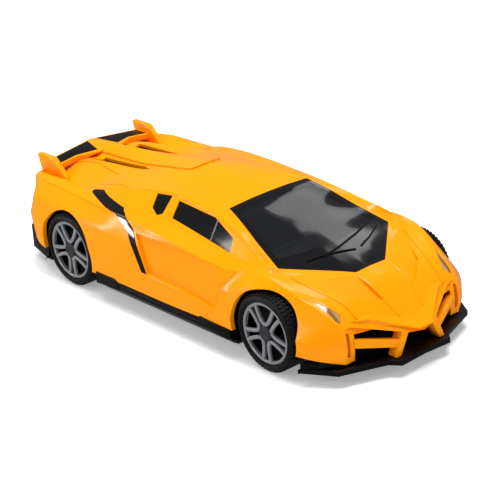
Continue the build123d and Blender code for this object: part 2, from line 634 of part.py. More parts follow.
def axle_slot(x):
    """A bearing bore along Y with its slot open at the top."""
    radius = AXLE_RADIUS + AXLE_RUNNING_GAP
    slot = Box(2 * radius, BODY_WIDTH, 20, align=(Align.CENTER, Align.CENTER, Align.MIN))
    return Pos(x, 0, AXLE_Z) * (Rot(90, 0, 0) * Cylinder(radius, BODY_WIDTH) + slot)


def bearing_block(x, top):
    length = 2 * (AXLE_RADIUS + BEARING_WALL + 1)
    block = Box(length, BEARING_WIDTH, top - PLATE_TOP + 0.2, align=(Align.CENTER, Align.CENTER, Align.MIN))
    return both_sides(Pos(x, BEARING_Y, PLATE_TOP - 0.2) * block)


def chassis():
    outline_face = plan_view(whole(CHASSIS_HALF))
    plate = along_z(outline_face, CHASSIS_Z, PLATE_TOP)
    rim = outline_face - offset(outline_face, -SKIRT_WALL, kind=Kind.INTERSECTION)
    skirt_length = WHEELBASE - 2 * (TYRE_RADIUS + WHEEL_END_GAP)
    skirt_middle = (FRONT_AXLE_X + REAR_AXLE_X) / 2
    between_wheels = Pos(skirt_middle, 0, 0) * Box(skirt_length, 2 * BODY_WIDTH, 60)
    skirts = along_z(rim, CHASSIS_Z + 0.6, SKIRT_TOP) & between_wheels
    tail = along_z(rim, CHASSIS_Z + 0.6, form(0, 0, 12.4)[2])
    tail &= along_y(side_view(TAIL_EDGE), -BODY_WIDTH, BODY_WIDTH)
    ledge = along_z(plan_view(whole([(-85, 0), (-85, 19), (-84, 25), (-81, 29), (-81, 0)])),
                    form(0, 0, 11.2)[2], form(0, 0, 12.4)[2])
    base = plate + skirts + tail + ledge
    strake = along_y(side_view(STRAKE), -STRAKE_THICKNESS / 2, STRAKE_THICKNESS / 2)
    for y in (-15, -5, 5, 15):
        base += Pos(0, form(0, y, 0)[1], 0) * strake
    for well in wheel_wells(60):
        base -= well
    # bearings: half a bore for the front axle, an open slot for the rear one
    base += bearing_block(FRONT_AXLE_X, AXLE_Z) + bearing_block(REAR_AXLE_X, AXLE_Z + AXLE_RADIUS)
    base -= axle_slot(FRONT_AXLE_X)
    base -= axle_slot(REAR_AXLE_X)
    base += motor_cradle()
    for x, y in tub_posts():
        base += Pos(x, y, PLATE_TOP - 0.2) * Cylinder(POST_RADIUS, TUB_FLOOR - PLATE_TOP + 0.2, align=ON_BASE)
    for x, y in boss_places():
        base -= Pos(x, y, CHASSIS_Z) * Cylinder(SCREW_RADIUS + 0.2, 20)
        base -= Pos(x, y, CHASSIS_Z) * Cylinder(SCREW_HEAD_RADIUS + 0.2, 2 * SCREW_HEAD_HEIGHT)
    return base


def motor_cradle():
    """Two ribs whose tops follow the case, so that it sits in them."""
    belly = along_y(case_outline(CASE_GAP + CASE_WALL + CASE_SEAT_GAP), -BODY_WIDTH, BODY_WIDTH)
    for x, z in lug_places():
        belly += Pos(x, 0, z) * along_y(Circle(LUG_RADIUS + CASE_SEAT_GAP), -BODY_WIDTH, BODY_WIDTH)
    length = SPRING_X - REAR_AXLE_X + 14
    rib = Box(length, 1.6, 7, align=(Align.MIN, Align.CENTER, Align.MIN))
    right_rib, left_rib = (Pos(REAR_AXLE_X - 3, y, PLATE_TOP - 0.2) * rib - belly
                           for y in (CASE_RIGHT_Y + 2, CASE_LEFT_Y - 2))
    return right_rib + left_rib


def front_axle_retainer():
    """A strap over the front axle, with a cap that closes each bearing."""
    length = 2 * (AXLE_RADIUS + BEARING_WALL + 1)
    cap_height = AXLE_RADIUS + BEARING_WALL
    cap = Box(length, BEARING_WIDTH, cap_height, align=ON_BASE)
    strap = Box(length, 2 * BEARING_Y + BEARING_WIDTH, RETAINER_THICKNESS, align=ON_BASE)
    retainer = both_sides(Pos(FRONT_AXLE_X, BEARING_Y, AXLE_Z) * cap)
    retainer += Pos(FRONT_AXLE_X, 0, AXLE_Z + cap_height - 0.1) * strap
    bore = Rot(90, 0, 0) * Cylinder(AXLE_RADIUS + AXLE_RUNNING_GAP, BODY_WIDTH)
    return retainer - Pos(FRONT_AXLE_X, 0, AXLE_Z) * bore


def chassis_screws():
    head_z = CHASSIS_Z + SCREW_HEAD_HEIGHT
    return [screw(x, y, head_z, SCREW_RADIUS, SCREW_HEAD_RADIUS, SCREW_HEAD_HEIGHT, SCREW_GRIP)
            for x, y in boss_places()]


# ---- cabin ----
TUB_FLOOR = form(0, 0, 14)[2]
TUB_RIM = form(0, 0, 27.5)[2]
TUB_BACK = SPRING_X + case_reach(SPRING_GEAR_TEETH) + TUB_MOTOR_GAP
TUB_FRONT = form(30, 0, 0)[0]
TUB_HALF_WIDTH = form(0, 25.5, 0)[1]
DASH_FRONT = form(44, 0, 0)[0]
DASH_HALF_WIDTH = form(0, 18.5, 0)[1]
SEAT_Y = form(0, 10.5, 0)[1]
SEAT_WIDTH = 13.0
SEAT_SIDE = [(0, 0), (13, 0), (13.5, 5), (5, 4), (2.2, 17), (-0.6, 17)]    # cushion and backrest
DASH_HEIGHT = 4.0
WHEEL_RIM_RADIUS = 3.8
WHEEL_RIM_TUBE = 0.55


def tub_posts():
    for x in (TUB_BACK + 5, TUB_FRONT - 5):
        for y in (-TUB_HALF_WIDTH + 6, TUB_HALF_WIDTH - 6):
            yield x, y


def interior_tub():
    """Floor, sides, dashboard and two seats in one moulding."""
    low = (Align.MIN, Align.CENTER, Align.MIN)
    length = TUB_FRONT - TUB_BACK
    height = TUB_RIM - TUB_FLOOR
    tub = Pos(TUB_BACK, 0, TUB_FLOOR) * Box(length, 2 * TUB_HALF_WIDTH, height, align=low)
    hollow = Box(length - 2 * TUB_WALL, 2 * (TUB_HALF_WIDTH - TUB_WALL), height, align=low)
    tub -= Pos(TUB_BACK + TUB_WALL, 0, TUB_FLOOR + TUB_WALL) * hollow
    dash = Box(DASH_FRONT - TUB_FRONT + TUB_WALL, 2 * DASH_HALF_WIDTH, DASH_HEIGHT, align=low)
    tub += Pos(TUB_FRONT - TUB_WALL, 0, TUB_RIM - DASH_HEIGHT - 1) * dash
    seat_side = outline(SEAT_SIDE)
    for side in (1, -1):
        seat = Pos(TUB_BACK + TUB_WALL + 1, side * SEAT_Y, TUB_FLOOR + TUB_WALL - 0.2) * along_y(
            seat_side, -SEAT_WIDTH / 2, SEAT_WIDTH / 2)
        tub += seat
    return tub


def steering_wheel(tub):
    """Rim, three spokes and a column that ends on the dashboard."""
    rim = Torus(WHEEL_RIM_RADIUS, WHEEL_RIM_TUBE)
    hub = Cylinder(1.0, 1.2)
    spoke = Pos(WHEEL_RIM_RADIUS / 2, 0, 0) * Box(WHEEL_RIM_RADIUS, 0.9, 0.7)
    spokes = [Rot(0, 0, angle) * spoke for angle in (0, 120, 240)]
    column = Cylinder(0.8, 12, align=ON_BASE)
    wheel = rim + hub + spokes + column
    placed = Pos(TUB_FRONT - 6.5, SEAT_Y, TUB_RIM - 0.5) * (Rot(0, 103, 0) * wheel)
    return placed - tub


def front_grille():
    """The black mesh panel behind the front openings."""
    face_x = form(72, 0, 0)[0]
    height = form(0, 0, 15.2)[2] - PLATE_TOP
    half_width = form(0, 21, 0)[1]
    low = (Align.MIN, Align.CENTER, Align.MIN)
    panel = Pos(face_x, 0, PLATE_TOP) * Box(1.6, 2 * half_width, height, align=low)
    cells = 7
    pitch = 2 * half_width / cells
    cell = Box(0.6, pitch - 1, height - 2.4, align=low)
    for i in range(cells):
        panel -= Pos(face_x + 1.0, (i - (cells - 1) / 2) * pitch, PLATE_TOP + 1.2) * cell
    return panel


# ---- write every piece ----
def write_parts():
    os.makedirs("parts", exist_ok=True)
    outside, inside = body_outside(), body_inside()
    blank = outside - inside
    tub = interior_tub()
    pieces = {
        "body_shell": body_shell(outside, inside),
        "windscreen": set_in(blank, windscreen_opening(smaller)),
        "rear_grille": set_in(blank, tail_opening(REAR_GRILLE, smaller)),
        "rear_wing": rear_wing(outside),
        "front_grille": front_grille(),
        "chassis": chassis(),
        "chassis_screws": chassis_screws(),
        "front_axle_retainer": front_axle_retainer(),
        "interior_tub": tub,
        "steering_wheel": steering_wheel(tub),
        "motor_case_left": motor_case_half(0, CASE_LEFT_Y, open_low=True),
        "motor_case_right": motor_case_half(CASE_RIGHT_Y, 0, open_low=False),
        "motor_screws": motor_screws(),
        "mainspring": mainspring(),
        "spring_gear": spring_gear(),
        "compound_gear": compound_gear(),
        "axle_pinion": axle_pinion(),
    }
    door = side_opening(DOOR_WINDOW, WINDOW_INNER_Y, smaller)
    quarter = side_opening(QUARTER_WINDOW, WINDOW_INNER_Y, smaller)
    paired = {
        "door_window": set_in(blank, door),
        "quarter_window": set_in(blank, quarter),
        "side_trim": set_in(blank, side_opening(SIDE_TRIM, TRIM_INNER_Y, smaller)),
        "headlight": set_in(blank, headlight_opening(smaller)),
        "tail_light": set_in(blank, tail_opening(TAIL_LIGHT, smaller)),
        "engine_louvre": set_in(blank, louvre_opening(smaller)),
        "wing_panel": wing_panel(),
    }
    for name, left in paired.items():
        pieces[name + "_left"] = left
        pieces[name + "_right"] = mirror(left, Plane.XZ)
    wheel_pieces = {"tyre": tyre(), "wheel_core": wheel_core(), "rim_face": rim_face()}
    for end, x in (("front", FRONT_AXLE_X), ("rear", REAR_AXLE_X)):
        pieces[end + "_axle"] = Pos(x, 0, AXLE_Z) * axle()
        for name, left in wheel_pieces.items():
            placed = Pos(x, 0, AXLE_Z) * left
            pieces[f"{name}_{end}_left"] = placed
            pieces[f"{name}_{end}_right"] = mirror(placed, Plane.XZ)
    for node, piece in pieces.items():
        export_step(Compound(piece) if isinstance(piece, list) else piece, f"parts/{node}.step")


write_parts()
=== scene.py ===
# %% [markdown]
# # Pull back toy car
# The real toy is an orange ABS shell clipped over a black chassis, with clear and black glazing pressed
# into it and four wheels on steel axles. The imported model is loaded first: it fixes every size, and each
# piece made below lies where its counterpart lies there. All lengths are written in millimetres and
# turned to metres once, in the functions that build meshes.

# %% Load the frame
import bmesh
import bpy
import math
from mathutils import Matrix, Vector
from mathutils.bvhtree import BVHTree


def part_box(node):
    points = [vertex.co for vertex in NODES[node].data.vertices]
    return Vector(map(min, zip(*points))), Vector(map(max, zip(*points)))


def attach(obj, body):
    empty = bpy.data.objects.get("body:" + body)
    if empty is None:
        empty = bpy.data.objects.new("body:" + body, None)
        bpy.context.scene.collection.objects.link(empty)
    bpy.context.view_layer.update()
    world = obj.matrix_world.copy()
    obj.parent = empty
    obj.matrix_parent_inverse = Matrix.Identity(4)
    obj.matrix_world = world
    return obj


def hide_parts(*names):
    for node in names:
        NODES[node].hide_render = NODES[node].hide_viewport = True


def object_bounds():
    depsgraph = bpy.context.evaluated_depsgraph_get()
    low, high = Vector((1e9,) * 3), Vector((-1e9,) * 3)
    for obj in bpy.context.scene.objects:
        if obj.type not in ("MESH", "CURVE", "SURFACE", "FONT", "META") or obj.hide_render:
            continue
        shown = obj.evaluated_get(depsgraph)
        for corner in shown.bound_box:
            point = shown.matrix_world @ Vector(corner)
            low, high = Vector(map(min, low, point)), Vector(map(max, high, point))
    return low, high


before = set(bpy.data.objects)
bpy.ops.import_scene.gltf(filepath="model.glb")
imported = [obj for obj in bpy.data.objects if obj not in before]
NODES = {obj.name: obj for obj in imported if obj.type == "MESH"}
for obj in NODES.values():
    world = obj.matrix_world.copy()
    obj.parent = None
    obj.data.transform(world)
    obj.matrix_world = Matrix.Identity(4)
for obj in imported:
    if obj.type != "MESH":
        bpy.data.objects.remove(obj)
cad_low, cad_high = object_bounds()
MM = 0.001
print("CAD box, mm:", [round(v / MM, 1) for v in cad_high - cad_low])

# %% [markdown]
# ## Camera, floor and light
# A small product is shown through a long lens from some way off, so its lines hardly converge. The
# camera is set by its direction to the car, its distance and a slight roll. The floor is a plain sheet
# that fills the view. The broad panels light the plastic but are kept out of its reflections, where they
# would wash the orange out. Narrow strips are left in, and each draws one bright streak along an edge.

# %% Camera
def add_object(name, data):
    """A new object in the scene that holds a mesh, a light or a camera."""
    made = bpy.data.objects.new(name, data)
    bpy.context.scene.collection.objects.link(made)
    return made


AZIMUTH, ELEVATION, ROLL = math.radians(49.96), math.radians(23.44), math.radians(-3.98)
CAMERA_PLACE = Vector((473.3, -396.5, 282.7)) * MM
toward_camera = Vector((math.sin(AZIMUTH) * math.cos(ELEVATION), -math.cos(AZIMUTH) * math.cos(ELEVATION),
                        math.sin(ELEVATION)))
level_right = Vector((math.cos(AZIMUTH), math.sin(AZIMUTH), 0))
level_up = toward_camera.cross(level_right)
right = level_right * math.cos(ROLL) + level_up * math.sin(ROLL)
up = level_up * math.cos(ROLL) - level_right * math.sin(ROLL)

camera = add_object("camera", bpy.data.cameras.new("camera"))
camera.data.sensor_width = 36
camera.data.lens = 144.03
camera.data.shift_x, camera.data.shift_y = 0.009, 0.0007
camera_axes = Matrix((right, up, toward_camera)).transposed().to_4x4()
camera.matrix_world = Matrix.Translation(CAMERA_PLACE) @ camera_axes
bpy.context.scene.camera = camera
print("camera is", round(CAMERA_PLACE.length / MM), "mm from the middle of the car")


# %% Light
def panel_light(name, place, target, size, power, in_reflections=True):
    """A rectangular soft light at a place in millimetres. It can be kept out of reflections."""
    light = bpy.data.lights.new(name, "AREA")
    light.shape, light.size, light.size_y, light.energy = "RECTANGLE", size[0] * MM, size[1] * MM, power
    lamp = add_object(name, light)
    lamp.location = Vector(place) * MM
    lamp.rotation_euler = (Vector(target) - Vector(place)).to_track_quat("-Z", "Y").to_euler()
    lamp.visible_glossy = in_reflections


panel_light("overhead_panel", (-60, 40, 560), (0, 0, 0), (560, 420), 3.5, in_reflections=False)
panel_light("side_fill", (60, -620, 260), (0, 0, 20), (500, 220), 0.2, in_reflections=False)
panel_light("front_fill", (620, 120, 240), (40, 0, 20), (260, 300), 0.45, in_reflections=False)
panel_light("top_strip", (60, 20, 600), (0, 0, 0), (60, 300), 1.3)
panel_light("low_strip", (-430, -410, 150), (0, 0, 25), (30, 320), 0.7)
panel_light("shoulder_strip", (120, -520, 420), (0, -20, 30), (260, 20), 0.28)
panel_light("window_strip", (-420, -300, 350), (10, -25, 35), (26, 200), 0.15)
panel_light("screen_card", (-240, 450, 450), (26, 10, 37), (90, 200), 0.14)
world = bpy.data.worlds.new("studio")
bpy.context.scene.world = world
world.use_nodes = True
backdrop = world.node_tree.nodes["Background"].inputs
backdrop["Color"].default_value = (0.92, 0.96, 1.0, 1)
backdrop["Strength"].default_value = 0.22
bpy.context.scene.view_settings.view_transform = "Standard"
print(len(bpy.data.lights), "panels and strips")

# %% [markdown]
# ## Helpers for nodes and colours
# Shader trees and Geometry Nodes trees take the same helper: it adds one node, sets its options, and
# gives each input either a value or a link. Colours are written as the hex values a painter would pick,
# and turned to the linear values that the shader works in.


# %% Node and colour helpers
def node(tree, kind, inputs=None, **settings):
    """Adds a node to a tree. An input is set by name or number, to a value or from another socket."""
    made = tree.nodes.new(kind)
    for name, value in settings.items():
        setattr(made, name, value)
    for socket, value in (inputs or {}).items():
        if isinstance(value, bpy.types.NodeSocket):
            tree.links.new(value, made.inputs[socket])
        else:
            made.inputs[socket].default_value = value
    return made


def linear(hex_colour, alpha=1.0):
    """An sRGB hex colour as linear red, green, blue and alpha."""
    parts = [int(hex_colour[i:i + 2], 16) / 255 for i in (1, 3, 5)]
    return tuple(p / 12.92 if p <= 0.04045 else ((p + 0.055) / 1.055) ** 2.4 for p in parts) + (alpha,)


def start_material(name, colour, roughness, **constants):
    """A Principled material. Returns it with its tree, its shader and the object coordinates."""
    made = bpy.data.materials.new(name)
    made.use_nodes = True
    tree = made.node_tree
    shader = tree.nodes["Principled BSDF"]
    shader.inputs["Base Color"].default_value = linear(colour)
    shader.inputs["Roughness"].default_value = roughness
    for socket, value in constants.items():
        shader.inputs[socket.replace("_", " ")].default_value = value
    where = node(tree, "ShaderNodeTexCoord").outputs["Object"]
    return made, tree, shader, where


def grain(tree, shader, where, size, height):
    """Fine moulded grain: a noise whose lumps are one size across, as a bump on the shader."""
    noise = node(tree, "ShaderNodeTexNoise", {"Vector": where, "Scale": 1 / (size * MM), "Detail": 2.0})
    bump = node(tree, "ShaderNodeBump", {"Height": noise.outputs["Fac"], "Distance": height * MM})
    tree.links.new(bump.outputs["Normal"], shader.inputs["Normal"])


def cloudy(tree, shader, where, socket, size, low, high):
    """Drives one socket, a number or a colour, slowly between two values over a patch size."""
    noise = node(tree, "ShaderNodeTexNoise", {"Vector": where, "Scale": 1 / (size * MM), "Detail": 3.0})
    kind, first, result = ("RGBA", 6, 2) if isinstance(low, tuple) else ("FLOAT", 2, 0)
    mix = node(tree, "ShaderNodeMix", {0: noise.outputs["Fac"], first: low, first + 1: high}, data_type=kind)
    tree.links.new(mix.outputs[result], shader.inputs[socket])


# %% [markdown]
# ## Materials
# Everything is injection moulded plastic apart from the steel axles, screws and spring. The maker
# changes only the polish of the mould: the body's mould is polished, so the ABS comes out like
# enamel, and the black parts' mould is spark eroded, so they come out satin with a fine grain. Such
# grain, paint flakes and drawn lines are under a tenth of a millimetre on the real toy. They are drawn
# two to five times as coarse here, so that they still show at the size of the picture.


# %% Plastics of the outside
def polished_orange_abs():
    """Glossy coloured ABS. The eye sees an enamel-like skin with soft, slightly wavy reflections."""
    made, tree, shader, where = start_material("polished_orange_abs", "#FF9000", 0.16,
                                               Specular_IOR_Level=0.2)
    cloudy(tree, shader, where, "Base Color", 30, linear("#FF9200"), linear("#FF9B00"))
    cloudy(tree, shader, where, "Roughness", 6, 0.13, 0.2)
    grain(tree, shader, where, size=2.5, height=0.012)
    return made


def satin_black_pp():
    """Spark eroded black polypropylene. The eye sees a grey sheen broken by a fine grain."""
    made, tree, shader, where = start_material("satin_black_pp", "#070708", 0.34,
                                               Specular_IOR_Level=0.22)
    cloudy(tree, shader, where, "Base Color", 9, linear("#060607"), linear("#0B0B0C"))
    cloudy(tree, shader, where, "Roughness", 3, 0.28, 0.42)
    grain(tree, shader, where, size=0.35, height=0.02)
    return made


def gloss_black_glazing():
    """Polished black polystyrene. The eye sees a black mirror with sharp streaks of the lights."""
    made, tree, shader, where = start_material("gloss_black_glazing", "#08080A", 0.06)
    cloudy(tree, shader, where, "Roughness", 8, 0.04, 0.09)
    grain(tree, shader, where, size=6, height=0.01)
    return made


def smoke_clear_glazing():
    """Smoke tinted clear polystyrene. The eye sees the cabin darkly, under a faint reflection."""
    made, tree, shader, where = start_material("smoke_clear_glazing", "#1A1B1F", 0.04, Alpha=0.5,
                                               Specular_IOR_Level=0.7)
    cloudy(tree, shader, where, "Roughness", 10, 0.03, 0.06)
    return made


def amber_clear_lens():
    """Amber-brown clear lens over a ribbed pocket, whose ribs are painted into its colour as bands of painted
    shade and painted highlight. The eye sees a brownish glassy wedge.
    """
    made, tree, shader, where = start_material("amber_clear_lens", "#9C7248", 0.1)
    # the darker and lighter bands are painted shade and painted highlight of the pocket's ribs
    scale = 1 / (1.4 * MM) / 6.28
    painted_rib_shading = node(tree, "ShaderNodeTexWave", {"Vector": where, "Scale": scale, "Distortion": 0.4},
                bands_direction="Y")
    mix = node(tree, "ShaderNodeMix", {0: painted_rib_shading.outputs["Fac"], 6: linear("#7C5636"), 7: linear("#BE9262")},
               data_type="RGBA")
    tree.links.new(mix.outputs[2], shader.inputs["Base Color"])
    return made


def red_clear_lens():
    """Red clear lens. The eye sees deep red that brightens on its ribs; that brightening is painted into its
    colour as lighter patches, a painted highlight.
    """
    made, tree, shader, where = start_material("red_clear_lens", "#8E0B08", 0.09)
    # the lighter patches of the colour are painted highlights for the light on the ribs
    cloudy(tree, shader, where, "Base Color", 1.2, linear("#6A0605"), linear("#C01A10"))
    return made


def silver_paint():
    """Silver paint sprayed on plastic. The eye sees a soft grey metal with fine flakes."""
    made, tree, shader, where = start_material("silver_paint", "#A9AAAD", 0.36, Metallic=0.55)
    flakes = node(tree, "ShaderNodeTexVoronoi", {"Vector": where, "Scale": 1 / (0.22 * MM)})
    mix = node(tree, "ShaderNodeMix", {0: flakes.outputs["Distance"], 6: linear("#B9BABD"),
                                       7: linear("#8F9093")}, data_type="RGBA")
    tree.links.new(mix.outputs[2], shader.inputs["Base Color"])
    grain(tree, shader, where, size=0.5, height=0.01)
    return made


def soft_black_vinyl():
    """Soft vinyl tyre. The eye sees a dull black skin, a little lighter in soft random patches."""
    made, tree, shader, where = start_material("soft_black_vinyl", "#0B0B0C", 0.5, Specular_IOR_Level=0.35)
    cloudy(tree, shader, where, "Base Color", 4, linear("#080809"), linear("#121214"))
    cloudy(tree, shader, where, "Roughness", 1.5, 0.45, 0.65)
    grain(tree, shader, where, size=0.3, height=0.02)
    return made


def hub_grey_plastic():
    """Dark grey moulded cap. The eye sees it a little lighter than the black wheel behind."""
    made, tree, shader, where = start_material("hub_grey_plastic", "#2C2C2F", 0.45)
    cloudy(tree, shader, where, "Roughness", 2, 0.38, 0.55)
    grain(tree, shader, where, size=0.4, height=0.02)
    return made


ORANGE, BLACK, GLOSS = polished_orange_abs(), satin_black_pp(), gloss_black_glazing()
SMOKE, AMBER, RED = smoke_clear_glazing(), amber_clear_lens(), red_clear_lens()
SILVER, TYRE, HUB = silver_paint(), soft_black_vinyl(), hub_grey_plastic()
print("outside finishes:", len(bpy.data.materials))


# %% Finishes of the inside
def plain_moulding(name, colour, roughness, patch):
    """An uncoated moulding of the inside, with flow clouds and a fine grain."""
    made, tree, shader, where = start_material(name, colour, roughness)
    cloudy(tree, shader, where, "Roughness", patch, roughness - 0.08, roughness + 0.1)
    grain(tree, shader, where, size=0.4, height=0.015)
    return made


def drawn_steel(name, colour, roughness, line):
    """Steel with fine lines along Y, left by the drawing die or the rolls."""
    made, tree, shader, where = start_material(name, colour, roughness, Metallic=1.0)
    stretched = node(tree, "ShaderNodeMapping", {"Vector": where, "Scale": (1.0, 0.04, 1.0)})
    grain(tree, shader, stretched.outputs["Vector"], size=line, height=0.01)
    return made


CABIN = plain_moulding("cabin_grey_abs", "#2B2C30", 0.5, 6)
MOTOR = plain_moulding("motor_grey_abs", "#6C6E72", 0.45, 8)
NYLON = plain_moulding("natural_nylon", "#E4E0D2", 0.4, 3)
AXLE = drawn_steel("bright_drawn_steel", "#B9BBBE", 0.22, 0.2)
ZINC = drawn_steel("zinc_plated_steel", "#AEB3B6", 0.3, 0.3)
SPRING = drawn_steel("blued_spring_steel", "#4B5666", 0.28, 0.25)


# %% Floor
def white_card():
    """Matt white card. The eye sees only the car's soft shadow on it."""
    made, tree, shader, where = start_material("white_card", "#F7F7F7", 0.7, Emission_Color=(1, 1, 1, 1),
                                               Emission_Strength=0.3)
    grain(tree, shader, where, size=1.5, height=0.01)
    return made


floor_mesh = bpy.data.meshes.new("floor")
floor_mesh.from_pydata([(-4, -4, 0), (4, -4, 0), (4, 4, 0), (-4, 4, 0)], [], [(0, 1, 2, 3)])
floor = add_object("floor", floor_mesh)
floor.visible_glossy = False
floor_mesh.materials.append(white_card())
print("finishes in all:", len(bpy.data.materials))

# %% [markdown]
# ## Mesh helpers
# A moulded part is drawn here the way its tool is cut: a skin is given a wall, and prisms, tubes and
# pockets are cut from it. Each cut is one boolean whose result becomes the mesh, so that no modifier is
# left behind. The left piece is made, and its mirror image is the right one. Shading is smooth up to an
# angle, past which an edge stays sharp.


# %% Objects, modifiers and cuts
def new_object(name, points, faces):
    """An object from points in millimetres."""
    mesh = bpy.data.meshes.new(name)
    mesh.from_pydata([Vector(p) * MM for p in points], [], faces)
    mesh.update()
    return add_object(name, mesh)


def drop(thing):
    """Takes a helper object out of the file."""
    bpy.data.objects.remove(thing)


def settle(thing):
    """Turns an object and its modifiers into a plain mesh."""
    graph = bpy.context.evaluated_depsgraph_get()
    graph.update()
    mesh = bpy.data.meshes.new_from_object(thing.evaluated_get(graph))
    thing.modifiers.clear()
    thing.data = mesh
    return thing


def modify(thing, kind, **settings):
    """Adds one modifier with its settings and turns the result into a plain mesh."""
    modifier = thing.modifiers.new(kind.lower(), kind)
    for name, value in settings.items():
        setattr(modifier, name, value)
    return settle(thing)


def carve(thing, tool, operation="DIFFERENCE"):
    """One boolean. The tool is used up."""
    modify(thing, "BOOLEAN", solver="MANIFOLD", object=tool, operation=operation)
    drop(tool)
    return thing


def duplicate(thing, name):
    """A copy with a mesh of its own."""
    return add_object(name, thing.data.copy())


def moved(thing, x=0, y=0, z=0):
    """Moves a mesh by millimetres. Its object stays at the origin."""
    thing.data.transform(Matrix.Translation(Vector((x, y, z)) * MM))
    return thing


def clean(thing):
    """Merges doubles, drops faces without area and turns every face outwards."""
    work = bmesh.new()
    work.from_mesh(thing.data)
    bmesh.ops.remove_doubles(work, verts=work.verts, dist=0.001 * MM)
    bmesh.ops.dissolve_degenerate(work, edges=work.edges, dist=0.0001 * MM)
    bmesh.ops.recalc_face_normals(work, faces=work.faces)
    work.to_mesh(thing.data)
    work.free()
    return thing


def mirrored(thing, name):
    """The same piece for the other side of the car, with its faces turned outwards."""
    made = duplicate(thing, name)
    made.data.transform(Matrix.Diagonal((1, -1, 1, 1)))
    made.data.flip_normals()
    return made


def join(name, things):
    """One object from several closed ones."""
    work = bmesh.new()
    for thing in things:
        work.from_mesh(thing.data)
    mesh = bpy.data.meshes.new(name)
    work.to_mesh(mesh)
    work.free()
    for thing in things:
        drop(thing)
    return add_object(name, mesh)


def join_both(name, things):
    """One object from the left pieces and their mirror images."""
    return join(name, things + [mirrored(thing, "other_side") for thing in things])


def carve_both(thing, tool, operation="DIFFERENCE"):
    """The same boolean on the left and the right of the car."""
    other = mirrored(tool, "other_side")
    carve(thing, tool, operation)
    carve(thing, other, operation)


def finish_piece(thing, material, body, replaces=(), angle=32):
    """Smooth shading up to an angle, one finish, and the body that the piece moves with."""
    mesh = thing.data
    mesh.materials.clear()
    mesh.materials.append(material)
    mesh.shade_smooth()
    mesh.set_sharp_from_angle(angle=math.radians(angle))
    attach(thing, body)
    if replaces:
        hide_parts(*replaces)
    print(f"{thing.name}: {len(mesh.polygons)} faces")


def finish_pair(left, name, material, stands_for="", angle=32):
    """Finishes a left piece of the car and its mirror image on the right."""
    pair = {"left": left, "right": mirrored(left, "other_side")}
    for side, piece in pair.items():
        piece.name = f"{name}_{side}"
        finish_piece(piece, material, "car", [f"{stands_for}_{side}"] if stands_for else [], angle)


# %% Prisms, tubes and their outlines
def solid_between(name, first, second):
    """A closed solid between two outlines that have as many points."""
    count = len(first)
    faces = [tuple(range(count)), tuple(range(2 * count - 1, count - 1, -1))]
    faces += [(i, (i + 1) % count, count + (i + 1) % count, count + i) for i in range(count)]
    return clean(new_object(name, first + second, faces))


def prism(outline, axis, low, high):
    """A closed prism along an axis, from an outline in the other two axes taken in order x, y, z."""
    def place(a, b, along):
        return {"x": (along, a, b), "y": (a, along, b), "z": (a, b, along)}[axis]
    start, end = ([place(a, b, along) for a, b in outline] for along in (low, high))
    return solid_between("prism", start, end)


def tube(path, radius, sides=8):
    """A closed round tube along points in millimetres."""
    points, faces = [], []
    for i, here in enumerate(path):
        before, after = Vector(path[max(i - 1, 0)]), Vector(path[min(i + 1, len(path) - 1)])
        along = (after - before).normalized()
        across = along.cross(Vector((0, 0, 1)) if abs(along.z) < 0.9 else Vector((1, 0, 0))).normalized()
        other = along.cross(across)
        for k in range(sides):
            turn = 2 * math.pi * k / sides
            points.append(Vector(here) + (across * math.cos(turn) + other * math.sin(turn)) * radius)
    for i in range(len(path) - 1):
        for k in range(sides):
            after = (k + 1) % sides
            faces.append((i * sides + k, i * sides + after, (i + 1) * sides + after, (i + 1) * sides + k))
    last = (len(path) - 1) * sides
    faces += [tuple(range(sides)), tuple(last + k for k in reversed(range(sides)))]
    return clean(new_object("tube", points, faces))


def shrunk(outline, gap):
    """An outline moved in by a gap, or out where the gap is negative, with its corners kept."""
    area = sum(a[0] * b[1] - b[0] * a[1] for a, b in zip(outline, outline[1:] + outline[:1])) / 2
    side = 1 if area > 0 else -1
    count, inset = len(outline), []
    for i in range(count):
        before, here, after = (Vector(outline[(i + k) % count]) for k in (-1, 0, 1))
        one, two = (here - before).normalized(), (after - here).normalized()
        normal_one, normal_two = Vector((-one.y, one.x)) * side, Vector((-two.y, two.x)) * side
        mitre = normal_one + normal_two
        inset.append(tuple(here + mitre * gap / mitre.dot(normal_one)))
    return inset


def arc(centre, radii, start, stop, steps):
    """Points along part of an ellipse, between two angles in degrees."""
    turns = [math.radians(start + (stop - start) * k / steps) for k in range(steps + 1)]
    return [(centre[0] + radii[0] * math.cos(t), centre[1] + radii[1] * math.sin(t)) for t in turns]


# %% [markdown]
# ## The body's skin
# The shell is one smooth moulding with soft creases. It could be sculpted, or built from a few Bezier
# patches. Here it is a low cage under subdivision: sections from tail to nose, each crossing the same
# nine lines on a side, with a crease along each line that the real body shows as an edge. The cage is
# pulled a little past the drawn points until the smooth skin goes through them.

